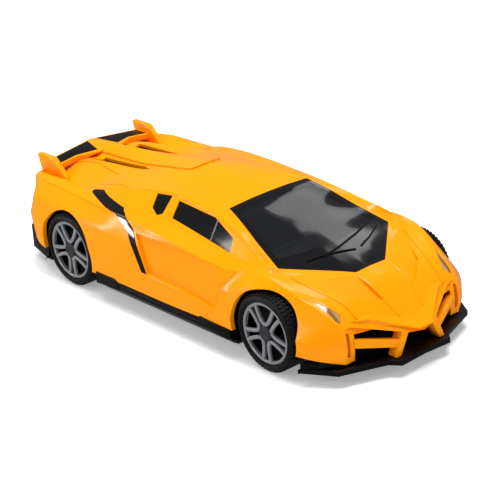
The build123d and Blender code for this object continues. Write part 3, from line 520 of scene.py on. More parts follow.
# %% Cage
# Each station lists (y, z) at the sill, lower crease, flank, ridge, belt, rail, roof crease, spine foot
# and centreline.
STATIONS = [
    (-74, [(32.5, 11.6), (33.6, 19), (31.8, 26), (28.2, 31.2), (26, 32.2), (20, 30), (11.5, 32.6),
           (5.2, 33.2), (0, 36)]),
    (-66, [(35.6, 10), (36.2, 20), (33.8, 27), (29, 31.8), (26.3, 32.8), (20.5, 30.6), (11.6, 35.2),
           (6.2, 34), (0, 37.4)]),
    (-50, [(37, 9.4), (37.2, 19.5), (34.9, 27.4), (30, 31.8), (27, 33), (21.5, 32.4), (12.2, 37.2),
           (7.2, 35.6), (0, 38.9)]),
    (-38, [(37, 9.4), (37.4, 18.5), (35.5, 27), (31.4, 32.2), (28.2, 33.6), (22.2, 36.8), (13, 38.6),
           (8, 37.6), (0, 40.1)]),
    (-28, [(37, 9.4), (37.4, 17), (35.6, 27), (32.4, 32.3), (30.3, 33.2), (22.9, 38), (15.8, 39), (7.5, 40.2),
           (0, 41.3)]),
    (-18, [(37, 9.4), (37.2, 16), (35.3, 26), (32.4, 31.9), (29, 34.4), (21.6, 39.2), (15.5, 39.9), (8, 41.6),
           (0, 42.6)]),
    (-6, [(37, 9.5), (37, 15), (35.2, 25), (33.3, 31.4), (28, 34), (20.3, 40), (15.2, 40.6), (8, 42.6),
          (0, 43.6)]),
    (14, [(37, 9.9), (37, 15), (35.3, 24), (33.3, 29.9), (28.3, 32.4), (21.3, 38.7), (17.1, 40.1), (8, 40.6),
          (0, 40.7)]),
    (30, [(36.8, 10.1), (36.9, 14), (35.4, 22), (32.9, 28.2), (29, 31), (24.4, 35.3), (21, 34.9), (8, 36.2),
          (0, 36.4)]),
    (38, [(36.8, 10), (37, 16), (35.4, 24.5), (31.1, 29.5), (29, 30.8), (25.8, 33.4), (22.9, 32.3), (8, 33.9),
          (0, 34.1)]),
    (46, [(36.8, 10), (37.2, 18), (35, 26.8), (31, 29.9), (29.3, 30.2), (27.2, 31.2), (24.7, 29.7), (8, 31.5),
          (0, 31.8)]),
    (56, [(36.6, 10), (36.8, 17.5), (33.8, 23.6), (30.2, 27.6), (27.5, 27.3), (22.3, 26.9), (15, 28),
          (8, 28.8), (0, 29)]),
    (65, [(35.6, 10), (35.4, 15), (31.6, 19.5), (27.8, 23.6), (24.6, 24.8), (20.4, 24.4), (16, 25), (7, 26),
          (0, 26.3)]),
    (71, [(31, 8.4), (31, 13), (28.6, 17.5), (26.3, 20.4), (23.2, 21), (20.3, 21.3), (15, 22), (6.5, 23.2),
          (0, 23.6)]),
]
TAIL = [(-82.5, 27, 12.8), (-83, 27.6, 17), (-79, 27.4, 24), (-79.6, 26.2, 30.8), (-79.3, 24.5, 31.6),
        (-78.6, 19.5, 29.6), (-78.2, 11, 31), (-78.2, 3.5, 32.8), (-78.2, 0, 33.8)]
NOSE = [(75, 25, 6.6), (75.4, 25.8, 12), (75, 25.5, 15.5), (74, 24.9, 17.6), (74.2, 22.4, 18),
        (74.8, 20.3, 17.4), (80.2, 10.5, 14.5), (83.9, 4.6, 12.9), (84.4, 0, 12.5)]
LINE_CREASES = [0, 0.7, 0.45, 0.9, 0.85, 0.9, 0.85, 0.85, 0.5]
END_CREASE = 1.0
SKIN_LEVEL = 3
BODY_WALL = 1.6

half_rings = [TAIL] + [[(x, y, z) for y, z in section] for x, section in STATIONS] + [NOSE]
whole_rings = [half + [(x, -y, z) for x, y, z in half[-2::-1]] for half in half_rings]
PER_RING = len(whole_rings[0])
LINES = len(TAIL)
cage_points = [Vector(p) for ring in whole_rings for p in ring]
cage_faces = []
for r in range(len(whole_rings) - 1):
    for i in range(PER_RING - 1):
        a, b = r * PER_RING + i, (r + 1) * PER_RING + i
        cage_faces.append((a, a + 1, b + 1, b))
nose_start = (len(whole_rings) - 1) * PER_RING
for i in range(LINES - 1):
    other = PER_RING - 1 - i
    tail_row = (i, other, other - 1, i + 1)
    nose_row = tuple(nose_start + k for k in (i, i + 1, other - 1, other))
    cage_faces += [tuple(dict.fromkeys(tail_row)), tuple(dict.fromkeys(nose_row))]
cage = new_object("cage", cage_points, cage_faces)

creases = cage.data.attributes.new("crease_edge", "FLOAT", "EDGE")
for edge in cage.data.edges:
    (ring_a, a), (ring_b, b) = (divmod(v, PER_RING) for v in edge.vertices)
    line = min(a, PER_RING - 1 - a)
    if ring_a == ring_b and ring_a in (0, len(whole_rings) - 1):
        creases.data[edge.index].value = END_CREASE
    elif a == b:
        creases.data[edge.index].value = LINE_CREASES[line]
corners = cage.data.attributes.new("crease_vert", "FLOAT", "POINT")
for corner in [0, PER_RING - 1] + list(range(nose_start, nose_start + PER_RING)):
    corners.data[corner].value = 1.0
print("cage:", len(cage_points), "points,", len(cage_faces), "faces")

# %% Fit the smooth skin to the drawn points
smoothing = cage.modifiers.new("smooth", "SUBSURF")
smoothing.levels = smoothing.render_levels = SKIN_LEVEL
for fitting_round in (1, 2, 3):
    graph = bpy.context.evaluated_depsgraph_get()
    graph.update()
    smooth = cage.evaluated_get(graph).data
    misses = [target * MM - smooth.vertices[i].co for i, target in enumerate(cage_points)]
    worst = max(miss.length for miss in misses) / MM
    print("round", fitting_round, "skin misses the drawn points by up to", round(worst, 2), "mm")
    for vertex, miss in zip(cage.data.vertices, misses):
        vertex.co += miss * 0.8
    cage.data.update()
skin = settle(cage)
skin.name = "skin"
skin_points = [vertex.co / MM for vertex in skin.data.vertices]
skin_tree = BVHTree.FromPolygons(skin_points, [face.vertices for face in skin.data.polygons])


def skin_height(x, y):
    """The skin's z over a point of the plan, in millimetres."""
    return skin_tree.ray_cast(Vector((x, y, 60)), Vector((0, 0, -1)))[0].z


def skin_side(x, z):
    """The skin's half width at a point of the side view, in millimetres."""
    return skin_tree.ray_cast(Vector((x, 60, z)), Vector((0, -1, 0)))[0].y


print("roof height", round(skin_height(0, 0), 1), "mm, half width", round(skin_side(0, 15), 1), "mm")


# %% Walls made from the skin
def slab(inward, outward=0.0):
    """A closed sheet that follows the skin, from a depth under it to a height over it."""
    made = duplicate(skin, "slab")
    thickness = inward + outward
    return modify(made, "SOLIDIFY", thickness=thickness * MM, offset=(outward - inward) / thickness)


def inlay(outline, axis, low, high, wall=BODY_WALL, sunk=0.0, gap=0.1):
    """The piece of the wall that fills an opening, a gap smaller all round and sunk under the skin."""
    made = carve(slab(wall), prism(shrunk(outline, gap), axis, low, high), "INTERSECT")
    if sunk:
        carve(made, slab(sunk, 0.5))
    return made


def drape(points, view, step=1.5, lift=0.0):
    """A path of short steps over the skin, from points of the plan or the side view."""
    path = []
    for (a0, b0), (a1, b1) in zip(points, points[1:]):
        count = max(1, round(math.hypot(a1 - a0, b1 - b0) / step))
        path += [(a0 + (a1 - a0) * k / count, b0 + (b1 - b0) * k / count) for k in range(count)]
    path.append(points[-1])
    if view == "plan":
        return [(a, b, skin_height(a, b) + lift) for a, b in path]
    return [(a, skin_side(a, b) + lift, b) for a, b in path]


POCKET_TOP = 4.0


def pocket(outline, depths):
    """A cutter from over the skin down to a depth of its own at each corner of the plan."""
    below = [(x, y, skin_height(x, y) - depth) for (x, y), depth in zip(outline, depths)]
    above = [(x, y, skin_height(x, y) + POCKET_TOP) for x, y in outline]
    return modify(solid_between("pocket", below, above), "TRIANGULATE")


# %% [markdown]
# ## The body shell
# The moulding is hollow and open underneath. Its windows, lights, vents and arches are holes in the
# tool, so here they are prisms cut from the wall. Door and bonnet lines are shallow round grooves that
# follow the skin. Crests, where two surfaces of the real body meet in a fine edge, are thin beads laid
# half into the skin. The spine on the roof is a raised sheet, so its edge catches the light in one line.

# %% Outlines of the openings
WINDSCREEN = [(15, 17), (45.5, 24.3), (61.5, 6.5), (61.5, -6.5), (45.5, -24.3), (15, -17)]
DOOR_WINDOW = [(-4.6, 38.9), (-2.8, 34.6), (27.6, 31.4), (25.6, 35), (14, 38)]
QUARTER_WINDOW = [(-15.4, 38.9), (-8.4, 39.4), (-7.4, 35), (-9.6, 34.3), (-13.2, 35.6)]
HEADLIGHT = [(63.4, 26.6), (70.8, 22.6), (72.6, 24.4), (71.6, 25.2)]
TAIL_LIGHT = [(14, 25.5), (24, 28), (25.5, 25), (18, 21.5)]
REAR_GRILLE = [(-12, 17), (-11.5, 26.5), (11.5, 26.5), (12, 17)]
LOUVRE = [(-65, 10), (-65, 5.5), (-41, 6.6), (-35.5, 8.6)]
SIDE_TRIM = [(-46.6, 34.5), (-43, 34.4), (-24, 33.5), (-15.4, 29.6), (-6.6, 17.5), (-8.3, 17.5),
             (-17.0, 28.6), (-25.4, 32.6), (-45, 33.8)]
INTAKE = [(-21.3, 4), (-21.3, 15.6), (-10.5, 13.9), (0, 12.5), (10.5, 13.9), (21.3, 15.6), (21.3, 4)]
SPINE = [(-14, 0), (-16, 6.4), (-22, 7.2), (-50, 5.2), (-77, 3.4), (-77, -3.4), (-50, -5.2), (-22, -7.2),
         (-16, -6.4)]
# how far each cutter reaches along its own axis
SIDE_REACH = (21, 39)
TRIM_REACH = (25.4, 39)
ARCH_REACH = (18.4, 40)
TOP_REACH = (24, 46)
LIGHT_REACH = (17.5, 30)
SPINE_REACH = (30, 50)
TAIL_REACH = (-88, -74)
NOSE_REACH = (70, 90)
SIDE_OPENINGS = [
    (DOOR_WINDOW, "y", SIDE_REACH), (QUARTER_WINDOW, "y", SIDE_REACH), (SIDE_TRIM, "y", TRIM_REACH),
    (HEADLIGHT, "z", LIGHT_REACH), (LOUVRE, "z", TOP_REACH), (TAIL_LIGHT, "x", TAIL_REACH),
]

# %% Cut the shell
body = slab(BODY_WALL)
body.name = "car_body"
carve(body, carve(slab(0.8, 0.5), prism(SPINE, "z", *SPINE_REACH), "INTERSECT"), "UNION")
AXLE_X, AXLE_Z = 50, 13.0
ARCH_RADII = (14.5, 14.3)
for axle_x in (AXLE_X, -AXLE_X):
    carve_both(body, prism(arc((axle_x, AXLE_Z), ARCH_RADII, 0, 355, 71), "y", *ARCH_REACH))
for outline, axis, reach in SIDE_OPENINGS:
    carve_both(body, prism(outline, axis, *reach))
carve(body, prism(INTAKE, "x", *NOSE_REACH))
carve(body, prism(WINDSCREEN, "z", *TOP_REACH))
carve(body, prism(REAR_GRILLE, "x", *TAIL_REACH))
print("shell after its openings:", len(body.data.polygons), "faces")

# %% Door, bonnet and pod details
GROOVE = 0.28
CREST, CREST_SUNK = 0.3, 0.12
DOOR = [(-13.4, 28.9), (-6, 17.2), (11.6, 16.8), (27, 15), (29.8, 22.7), (34, 28.4), (10, 30)]
DOOR_TOP_Z, DOOR_TOP_Y, DOOR_SLOPE = 29.6, 33.25, 0.18


def door_recess():
    """A flat cut whose depth grows from nothing at the shoulder to about a millimetre at the sill."""
    inner = [(x, DOOR_TOP_Y + (DOOR_TOP_Z - z) * DOOR_SLOPE, z) for x, z in DOOR]
    return solid_between("door_recess", inner, [(x, 40, z) for x, z in DOOR])


carve_both(body, door_recess())
# the bonnet's vents: sloping floors that end in a step near the nose
VENT = [(55, 22.5), (65, 17.5), (70.5, 11.2), (73.2, 6.6), (63, 7.6)]
carve_both(body, pocket(VENT, [0, 0.9, 1.2, 0.6, 0.05]))
# the slot in the front face of each corner pod
carve_both(body, prism([(72.6, 23.3), (77, 22.9), (77, 24.5), (72.6, 24.3)], "z", 8.6, 16.6))
# rear edge of the door, shut line of the bonnet, and the line beside the rear deck
SHUT_LINES = [
    ("side", [(-4.4, 30.2), (-2.8, 24), (-1.6, 18)]),
    ("plan", [(52, 24.6), (62, 21.6), (69.5, 19.4), (73.6, 18.6), (79, 9.6), (82.3, 4.2), (83, 0)]),
    ("plan", [(-79, 12.5), (-60, 12.6), (-44, 16.2)]),
]
for view, points in SHUT_LINES:
    carve_both(body, tube(drape(points, view), GROOVE, 6))
# beside the nose, round the spine, along the roof, along the haunch, down the haunch, over and under the door
CRESTS = [
    ("plan", 0.0, [(62, 6.9), (73.4, 6.3), (82.9, 4.5)]),
    ("plan", 0.35, [(-15, 0.4), (-17, 6.3), (-22, 7), (-50, 5), (-74, 3.4)]),
    ("plan", 0.0, [(-44, 22.1), (-30, 23), (-18, 21.8), (-6, 20.6), (14, 21.6), (30, 24.7), (38, 26.1),
                   (47, 27.6)]),
    ("plan", 0.0, [(-72, 28.3), (-66, 29.1), (-50, 30.1), (-38, 31.5), (-28, 32.5)]),
    ("plan", 0.0, [(-30, 23), (-25.5, 27.5), (-22.5, 31.2)]),
    ("side", 0.0, [(-12.5, 30.6), (2, 30.4), (28, 28.3)]),
    ("side", 0.0, [(-5.4, 16.9), (11.6, 16.3), (27.2, 14.6), (30.2, 22.7), (34.4, 28.4)]),
]
for view, lift, points in CRESTS:
    carve_both(body, tube(drape(points, view, lift=lift - CREST_SUNK), CREST), "UNION")
# the shell ends at the frame's box
box_low, box_high = cad_low / MM, cad_high / MM
box_end = [(box_low.y, 0), (box_high.y, 0), (box_high.y, box_high.z), (box_low.y, box_high.z)]
carve(body, prism(box_end, "x", box_low.x, box_high.x), "INTERSECT")
finish_piece(body, ORANGE, "car", ["body_shell"], angle=13)

# %% [markdown]
# ## Fins, blades and cheeks of the front intake
# These are moulded with the shell. Each is a slim plate under the lip, so it is a prism with its edges
# rounded by a small bevel. The blade drops toward the middle, so its corners are lowered by their y.


# %% Intake plates
def rounded(thing, width=0.25, angle=30):
    """Rounds the sharp edges of a piece."""
    return modify(thing, "BEVEL", width=width * MM, segments=2, limit_method="ANGLE",
                  angle_limit=math.radians(angle), use_clamp_overlap=True)


fin = prism([(4.7, 13.6), (7.3, 14.2), (10.7, 5.9), (8.5, 5.9)], "x", 78.6, 82.4)
cheek = prism([(68, 6.6), (68, 17), (74.6, 17.2), (74.9, 12), (74.6, 6.6)], "y", 21.3, 22.9)
BLADE_OUTER_Y, BLADE_DROP = 21.8, 0.19
blade = prism([(73.2, BLADE_OUTER_Y), (76.0, BLADE_OUTER_Y), (82.6, 7.4), (79.8, 7.4)], "z", 11.2, 13.9)
for corner in blade.data.vertices:
    corner.co.z -= (BLADE_OUTER_Y * MM - corner.co.y) * BLADE_DROP
finish_piece(join_both("intake_plates", [rounded(plate) for plate in (fin, blade, cheek)]), ORANGE, "car")

# %% [markdown]
# ## Glazing, lenses and inlays
# Each of these is pressed into its opening from inside and follows the body's skin. It is the same
# skin given a wall and cut to a slightly smaller outline, so every gap is even. The windscreen is one
# smoke tinted moulding: a black border is printed round it, and wide and V-shaped at the base, where the
# wipers are moulded on.

# %% Windscreen
CLEAR_ZONE = [(17.2, 15.6), (42, 21.4), (45, 12), (46.6, 0), (45, -12), (42, -21.4), (17.2, -15.6)]
PANE_WALL = 1.2
windscreen_border = inlay(WINDSCREEN, "z", *TOP_REACH, wall=1.4)
windscreen_border.name = "windscreen_border"
carve(windscreen_border, prism(CLEAR_ZONE, "z", *TOP_REACH))
finish_piece(windscreen_border, GLOSS, "car", ["windscreen"])
windscreen_clear = inlay(CLEAR_ZONE, "z", *TOP_REACH, wall=PANE_WALL, sunk=0.08, gap=0.0)
windscreen_clear.name = "windscreen_clear"
finish_piece(windscreen_clear, SMOKE, "car")

WIPERS = [[(50.5, -9), (49, 0), (46.8, 8), (43.6, 16)], [(52.5, 5), (50, 11), (46, 18)],
          [(48.6, -15), (50.6, -6), (53, 2)]]
wiper_arms = [tube(drape(points, "plan", lift=0.12), 0.32) for points in WIPERS]
finish_piece(join("wiper_arms", wiper_arms), BLACK, "car")

# %% Side glazing, trims, lenses
door_pane = inlay(DOOR_WINDOW, "y", *SIDE_REACH, wall=PANE_WALL, sunk=0.2)
finish_pair(door_pane, "door_pane", GLOSS, "door_window")
quarter_pane = inlay(QUARTER_WINDOW, "y", *SIDE_REACH, wall=PANE_WALL, sunk=0.2)
finish_pair(quarter_pane, "quarter_pane", GLOSS, "quarter_window")
divider = tube(drape([(15.6, 37.4), (17.4, 32.6)], "side", lift=-0.15), 0.2)
finish_pair(divider, "window_divider", SILVER)
# the trim stands a little proud of the body and covers the edge of its slot
strip = carve(slab(1.5, 0.2), prism(shrunk(SIDE_TRIM, -0.3), "y", *TRIM_REACH), "INTERSECT")
finish_pair(strip, "side_strip", GLOSS, "side_trim")
lens = inlay(HEADLIGHT, "z", *LIGHT_REACH, wall=PANE_WALL, sunk=0.12)
finish_pair(lens, "headlight_lens", AMBER, "headlight")
tail_lens = inlay(TAIL_LIGHT, "x", *TAIL_REACH, wall=1.3, sunk=0.15)
finish_pair(tail_lens, "tail_lens", RED, "tail_light")

# %% [markdown]
# ## What repeats: one Geometry Nodes tree
# Grille bars, ribs, tread blocks and spokes are each one small shape copied in even steps. The tree takes
# that shape, a count, a step along and a turn about the axle's direction for each copy. It ends in real
# geometry with its material, so the result can be kept as a plain mesh.


# %% The tree
def pattern_tree():
    """Points in even steps, the shape on each of them, made real and given its material."""
    tree = bpy.data.node_groups.new("even_pattern", "GeometryNodeTree")
    face = tree.interface
    face.new_socket("Geometry", in_out="INPUT", socket_type="NodeSocketGeometry")
    face.new_socket("Count", in_out="INPUT", socket_type="NodeSocketInt")
    face.new_socket("Step", in_out="INPUT", socket_type="NodeSocketVector")
    face.new_socket("Turn", in_out="INPUT", socket_type="NodeSocketFloat")
    face.new_socket("Material", in_out="INPUT", socket_type="NodeSocketMaterial")
    face.new_socket("Geometry", in_out="OUTPUT", socket_type="NodeSocketGeometry")
    given = node(tree, "NodeGroupInput").outputs
    index = node(tree, "GeometryNodeInputIndex").outputs["Index"]
    along = node(tree, "ShaderNodeVectorMath", {0: given["Step"], "Scale": index}, operation="SCALE")
    turned = node(tree, "ShaderNodeMath", {0: index, 1: given["Turn"]}, operation="MULTIPLY")
    rotation = node(tree, "ShaderNodeCombineXYZ", {"Y": turned.outputs[0]})
    dots = node(tree, "GeometryNodePoints", {"Count": given["Count"]})
    spread = node(tree, "GeometryNodeSetPosition",
                  {"Geometry": dots.outputs[0], "Position": along.outputs[0]})
    copies = node(tree, "GeometryNodeInstanceOnPoints", {
        "Points": spread.outputs[0], "Instance": given["Geometry"], "Rotation": rotation.outputs[0]})
    real = node(tree, "GeometryNodeRealizeInstances", {"Geometry": copies.outputs[0]})
    coloured = node(tree, "GeometryNodeSetMaterial",
                    {"Geometry": real.outputs[0], "Material": given["Material"]})
    node(tree, "NodeGroupOutput", {"Geometry": coloured.outputs[0]})
    return tree


PATTERN = pattern_tree()
SOCKETS = {item.name: item.identifier for item in PATTERN.interface.items_tree if item.in_out == "INPUT"}
print("inputs of the pattern:", ", ".join(SOCKETS))


def repeat(thing, count, material, step=(0, 0, 0), turn=0.0):
    """Copies a shape in even steps along, in millimetres, and about Y, in radians."""
    modifier = thing.modifiers.new("pattern", "NODES")
    modifier.node_group = PATTERN
    modifier[SOCKETS["Count"]] = count
    modifier[SOCKETS["Step"]] = tuple(s * MM for s in step)
    modifier[SOCKETS["Turn"]] = turn
    modifier[SOCKETS["Material"]] = material
    return settle(thing)


# %% [markdown]
# ## Engine louvres and rear grille
# On the real toy these are black mouldings behind openings of the shell. Each louvre is a plain strip,
# sunk well under the deck, so only its dark slot shows. The grille is a lattice before a sunk plate:
# bars and posts are repeated past the opening, and the wall of the skin then trims them to its shape.

# %% Louvres and grille
louvre = inlay(LOUVRE, "z", *TOP_REACH, sunk=0.9)
finish_pair(louvre, "louvre", BLACK, "engine_louvre")

grille_back = inlay(REAR_GRILLE, "x", *TAIL_REACH, sunk=1.0)
bar = prism([(-12.5, 17), (-12.5, 17.7), (12.5, 17.7), (12.5, 17)], "x", *TAIL_REACH)
bars = repeat(bar, 6, BLACK, step=(0, 0, 1.7))
post = prism([(-0.4, 16), (-0.4, 27), (0.4, 27), (0.4, 16)], "x", *TAIL_REACH)
lattice = carve(bars, moved(repeat(post, 9, BLACK, step=(0, 2.6, 0)), y=-10.4), "UNION")
grille_zone = carve(slab(1.3), prism(shrunk(REAR_GRILLE, 0.15), "x", *TAIL_REACH), "INTERSECT")
carve(lattice, grille_zone, "INTERSECT")
finish_piece(join("rear_mesh", [grille_back, lattice]), BLACK, "car", ["rear_grille"])


# %% [markdown]
# ## Mouldings that keep the frame's shape
# The chassis, the wing, the cabin tub and the small mouldings already have their true shape in the
# frame. A real mould has no razor edges, so each is a copy with its doubles merged, its flat faces joined
# and its edges rounded. The chassis is slimmer than its node where it shows: it is undercut along the
# sills, and a notch is taken out behind each rear wheel.


# %% Copies from the frame
def from_frame(node_name, name):
    """A copy of a frame node with its doubles merged and its flat faces joined."""
    made = duplicate(NODES[node_name], name)
    work = bmesh.new()
    work.from_mesh(made.data)
    bmesh.ops.remove_doubles(work, verts=work.verts, dist=0.002 * MM)
    bmesh.ops.dissolve_limit(work, angle_limit=math.radians(1), verts=work.verts, edges=work.edges)
    work.to_mesh(made.data)
    work.free()
    return made


chassis = from_frame("chassis", "chassis_moulding")
undercut = prism([(38, 0), (38, 12), (35.3, 12), (35.3, 6.9), (33.2, 2.6), (33.2, 0)], "x", -37.5, 37.5)
carve_both(chassis, undercut)
flap_notch = prism([(38, 0), (38, 5.6), (33, 5.6), (33, 0)], "x", -69, -60)
carve_both(chassis, flap_notch)
finish_piece(rounded(chassis, 0.3, 35), BLACK, "car", ["chassis"])

# each node with its new name, finish, slot and the width of its rounded edges
KEPT_SHAPES = [
    ("rear_wing", "wing_moulding", ORANGE, "body_orange", 0.45),
    ("front_grille", "intake_mesh", BLACK, "black_plastic", 0.15),
    ("interior_tub", "cabin_tub", CABIN, "cabin_grey", 0.5),
    ("steering_wheel", "handwheel", CABIN, "cabin_grey", 0.12),
]
for node_name, name, material, slot_name, width in KEPT_SHAPES:
    finish_piece(rounded(from_frame(node_name, name), width, 35), material, "car", [node_name])

# %% [markdown]
# ## Wing panels
# Two black textured plates are pressed onto the wing. Each could be a flat sheet, but the real one has
# folds that catch the light, so it is drawn as five facets that meet in a ridge, over a flat underside.

# %% Panels of the wing
WING_PANEL = [(-79.3, 3.1), (-78.5, 18.9), (-74.7, 19.1), (-75, 11.6), (-72.1, 5.1)]
WING_TOP_Z, WING_TOP_Y, WING_SLOPE = 35.9, 3, 0.1


def wing_panel():
    """The left panel, a little wider than its seat."""
    def above_wing(x, y, lift):
        return (x, y, WING_TOP_Z - WING_SLOPE * (y - WING_TOP_Y) + lift)
    rim = shrunk(WING_PANEL, -0.9)
    points = [above_wing(x, y, 0.06) for x, y in rim]
    points += [above_wing(-76.4, 7.4, 0.5), above_wing(-76.5, 14.6, 0.45)]
    points += [above_wing(x, y, -0.6) for x, y in rim]
    faces = [(0, 1, 6, 5), (1, 2, 6), (2, 3, 6), (3, 5, 6), (3, 4, 5), (4, 0, 5), tuple(range(11, 6, -1))]
    faces += [(i, i + 7, (i + 1) % 5 + 7, (i + 1) % 5) for i in range(5)]
    return clean(new_object("panel", points, faces))


finish_pair(wing_panel(), "wing_inset", BLACK, "wing_panel", angle=12)

# %% [markdown]
# ## Skirts
# Along each sill the black chassis shows as a slim rail with an undercut, so its lower edge lies in
# shadow. It swells to a block behind the front wheel and before the rear one. The rail and blocks are
# prisms. The fine ribs between them are one small rib that the pattern tree repeats.

# %% Skirt of one side
SKIRT_FACE = 37.39


def skirt():
    """The left skirt: rail, end blocks, bead and ribs."""
    section = [(37.3, 7.3), (37.3, 9.7), (35.6, 9.9), (35.4, 7.4), (33.0, 4.6), (33.4, 3.4)]
    rail = prism(section, "x", -33.2, 33.4)
    block = [(-33.6, 6.3), (-33.5, 10.4), (-23.5, 10.5), (-20, 8.9), (-20.4, 7.1)]
    back = prism(block, "y", 36.3, SKIRT_FACE)
    carve(back, prism([(-32.6, 8), (-32.5, 9.6), (-24.5, 9.7), (-22.6, 8.6), (-23.6, 8)], "y", 37.0, 38))
    block = [(20.4, 10.6), (25, 10.3), (34.8, 9.9), (34.5, 6.5), (24.8, 7.1), (20.4, 8.3)]
    front = prism(block, "y", 36.3, SKIRT_FACE)
    bead = tube([(x, 37.2, 8.6) for x in (-20, 0, 21)], 0.17)
    rib = rounded(prism([(0, 7.6), (0, 8.3), (0.5, 8.3), (0.5, 7.6)], "y", 37.1, 37.38), 0.08)
    painted_rib_shading = moved(repeat(rib, 38, BLACK, step=(1.05, 0, 0)), x=-19.4)
    return join("skirt", [rounded(rail, 0.3), rounded(back, 0.3), rounded(front, 0.3), bead, painted_rib_shading])


finish_pair(skirt(), "skirt", BLACK)

# %% [markdown]
# ## Wheel housings and pod soles
# Behind each wheel the eye should meet black plastic, not the hollow of the shell. A half drum with a
# wall on its inner side does that, cut so that it stays under the skin. Each front corner pod also
# stands on a flat black sole, which is part of the splitter.

# %% Housings and soles
HOUSING_IN, HOUSING_OUT = 20.6, 31.0


def wheel_housing(axle_x):
    """A half drum over a left wheel, with a wall on its inner side."""
    centre = (axle_x, AXLE_Z)
    section = arc(centre, (15.9, 15.9), -8, 188, 24) + arc(centre, (15.0, 15.0), 188, -8, 24)
    drum = prism(section, "y", HOUSING_IN, HOUSING_OUT)
    wall = prism(arc(centre, (15.4, 15.4), 10, 170, 24), "y", HOUSING_IN, HOUSING_IN + 0.8)
    return carve(carve(drum, wall, "UNION"), slab(0.6, 3))


housings = [wheel_housing(AXLE_X), wheel_housing(-AXLE_X)]
finish_piece(join_both("wheel_housings", housings), BLACK, "car")
sole = prism([(64.9, 22), (64.9, 35), (70.2, 31.2), (74.4, 25.2), (74.4, 22)], "z", 4.4, 7.8)
finish_piece(join_both("pod_soles", [rounded(sole, 0.3)]), BLACK, "car")

# %% [markdown]
# ## Wheels
# A toy wheel is a black barrel with a soft tyre stretched over it and a silver painted face: a ring and
# five looped spokes. The tyre's section is turned about the axle. Tread blocks and spokes repeat, so the
# pattern tree places them. One wheel is made and then placed four times.

# %% Sizes of the wheel
tyre_low, tyre_high = (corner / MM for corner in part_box("tyre_front_left"))
rim_low, rim_high = (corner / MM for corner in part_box("rim_face_front_left"))
core_low, core_high = (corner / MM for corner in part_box("wheel_core_front_left"))
TYRE_RADIUS, TYRE_IN, TYRE_OUT = (tyre_high.z - tyre_low.z) / 2, tyre_low.y, tyre_high.y
RIM_RADIUS, RIM_IN, RIM_OUT = (rim_high.z - rim_low.z) / 2, rim_low.y, rim_high.y
CORE_OUT = core_high.y
print("tyre radius", round(TYRE_RADIUS, 2), "rim radius", round(RIM_RADIUS, 2), "mm")


def turned(section, segments=96):
    """A ring or disc turned about Y from a closed section of (radius, y)."""
    count, points, faces = len(section), [], []
    for k in range(segments):
        turn = 2 * math.pi * k / segments
        points += [(r * math.cos(turn), y, r * math.sin(turn)) for r, y in section]
    for k in range(segments):
        for i in range(count):
            a, b = k * count, ((k + 1) % segments) * count
            j = (i + 1) % count
            faces.append((a + i, a + j, b + j, b + i))
    return clean(new_object("turned", points, faces))


# %% Tyre
TREAD_DEPTH = 0.45
tread = TYRE_RADIUS - TREAD_DEPTH
BEAD_RADIUS, SHOULDER = 10.45, 1.3
tyre_section = [(BEAD_RADIUS, TYRE_IN), (11.4, TYRE_IN), (12.0, TYRE_IN + 0.35), (tread, TYRE_IN + SHOULDER),
                (tread, TYRE_OUT - SHOULDER), (12.2, TYRE_OUT - 0.45), (11.7, TYRE_OUT - 0.08),
                (11.3, TYRE_OUT), (11.1, TYRE_OUT - 0.18), (10.9, TYRE_OUT - 0.02), (10.6, TYRE_OUT - 0.25),
                (BEAD_RADIUS, TYRE_OUT - 0.5)]
tyre = turned(tyre_section)
BLOCKS = 56
middle = (TYRE_IN + TYRE_OUT) / 2
block_length = 2 * math.pi * TYRE_RADIUS / BLOCKS * 0.66


def tread_row(low, high, shift):
    """One row of blocks round the tyre."""
    half = block_length / 2
    plan = [(shift - half, low), (shift + half, low), (shift + half, high), (shift - half, high)]
    block = rounded(prism(plan, "z", tread - 0.3, TYRE_RADIUS - 0.02), 0.12)
    return repeat(block, BLOCKS, TYRE, turn=2 * math.pi / BLOCKS)


rows = [tread_row(TYRE_IN + 0.9, TYRE_IN + 2.6, 0), tread_row(middle - 1.6, middle - 0.25, 0.3),
        tread_row(middle + 0.25, middle + 1.6, -0.3), tread_row(TYRE_OUT - 2.6, TYRE_OUT - 0.9, 0)]
tyre = join("tyre", [tyre] + rows)

# %% Silver face
# a spoke's arm as distances from the axle and angles from the spoke's middle
LOOP_POINTS = [(2.9, 0.0), (3.5, 16.0), (4.6, 22.0), (6.4, 25.0), (8.2, 25.5), (RIM_RADIUS - 0.5, 25.0)]
SPOKE_HALF = 0.6


def spoke_loop():
    """Two arms that leave the hub as one point and curve out to the ring."""
    arms = []
    for side in (1, -1):
        turns = [(r, math.radians(side * angle)) for r, angle in LOOP_POINTS]
        path = [(r * math.sin(t), r * math.cos(t)) for r, t in turns]
        left, other = [], []
        for i, here in enumerate(path):
            before, after = Vector(path[max(i - 1, 0)]), Vector(path[min(i + 1, len(path) - 1)])
            along = (after - before).normalized()
            across = Vector((-along.y, along.x)) * SPOKE_HALF
            left.append(tuple(Vector(here) + across))
            other.append(tuple(Vector(here) - across))
        arms.append(prism(left + other[::-1], "y", RIM_IN + 0.25, RIM_OUT - 0.05))
    return rounded(carve(arms[0], arms[1], "UNION"), 0.16)


ring_section = [(RIM_RADIUS - 1.05, RIM_IN), (RIM_RADIUS, RIM_IN), (RIM_RADIUS, RIM_OUT - 0.25),
                (RIM_RADIUS - 0.25, RIM_OUT), (RIM_RADIUS - 0.8, RIM_OUT),
                (RIM_RADIUS - 1.05, RIM_OUT - 0.25)]
spokes = repeat(spoke_loop(), 5, SILVER, turn=2 * math.pi / 5)
silver_face = join("silver_face", [turned(ring_section), spokes])

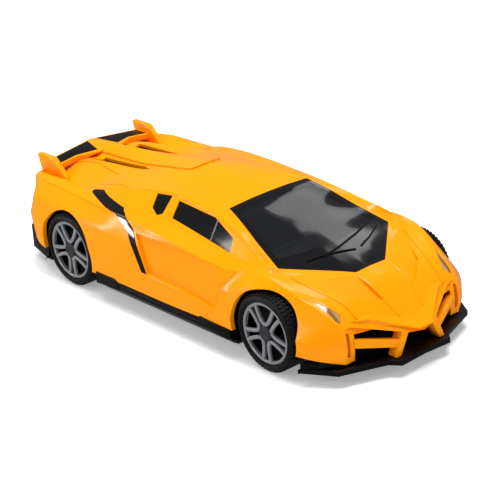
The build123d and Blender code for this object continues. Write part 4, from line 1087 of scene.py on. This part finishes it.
# %% Black barrel, hub cap
barrel_section = [(2.5, TYRE_IN + 3.6), (9.2, TYRE_IN + 3.6), (9.2, TYRE_IN), (10.4, TYRE_IN), (10.4, RIM_IN),
                  (9.4, RIM_IN), (9.2, TYRE_IN + 4.8), (2.5, TYRE_IN + 4.8)]
hub_section = [(1.3, TYRE_IN), (2.6, TYRE_IN), (2.6, CORE_OUT - 0.9), (1.3, CORE_OUT - 0.9)]
cap_section = [(0, CORE_OUT - 1.4), (2.6, CORE_OUT - 1.4), (2.6, CORE_OUT - 0.45), (2.3, CORE_OUT - 0.1),
               (1.5, CORE_OUT), (1.2, CORE_OUT - 0.15), (0, CORE_OUT - 0.15)]
barrel = join("barrel", [turned(barrel_section, 72), turned(hub_section, 48)])
cap = turned(cap_section, 48)

# %% Place the four wheels
# each shape with its name, finish, slot and the node that it stands for
WHEEL_PIECES = [(tyre, "tyre", TYRE, "tyre_black", "tyre"),
                (silver_face, "spoked_face", SILVER, "rim_silver", "rim_face"),
                (barrel, "barrel", BLACK, "wheel_black", "wheel_core"),
                (cap, "hub_cap", HUB, "wheel_black", "")]
for end, axle_x in (("front", AXLE_X), ("rear", -AXLE_X)):
    for side in ("left", "right"):
        for shape, piece, material, slot_name, stands_for in WHEEL_PIECES:
            copy = duplicate if side == "left" else mirrored
            made = moved(copy(shape, f"{piece}_{end}_{side}_look"), x=axle_x, z=AXLE_Z)
            nodes = [f"{stands_for}_{end}_{side}"] if stands_for else []
            finish_piece(made, material, f"{end}_wheels", nodes)
for shape in (tyre, silver_face, barrel, cap, skin):
    drop(shape)

# %% [markdown]
# ## Inside
# The motor, gears, spring, axles and screws are hidden in use, and the frame already holds their exact
# shapes. They keep them, and take the finish of what they are made of.

# %% Finishes of the hidden parts
HIDDEN = {
    "motor_case_left": MOTOR, "motor_case_right": MOTOR, "mainspring": SPRING, "spring_gear": NYLON,
    "compound_gear": NYLON, "axle_pinion": NYLON, "motor_screws": ZINC, "chassis_screws": ZINC,
    "front_axle": AXLE, "rear_axle": AXLE, "front_axle_retainer": BLACK,
}
for name, material in HIDDEN.items():
    NODES[name].data.materials.clear()
    NODES[name].data.materials.append(material)
print(len(HIDDEN), "hidden parts finished")
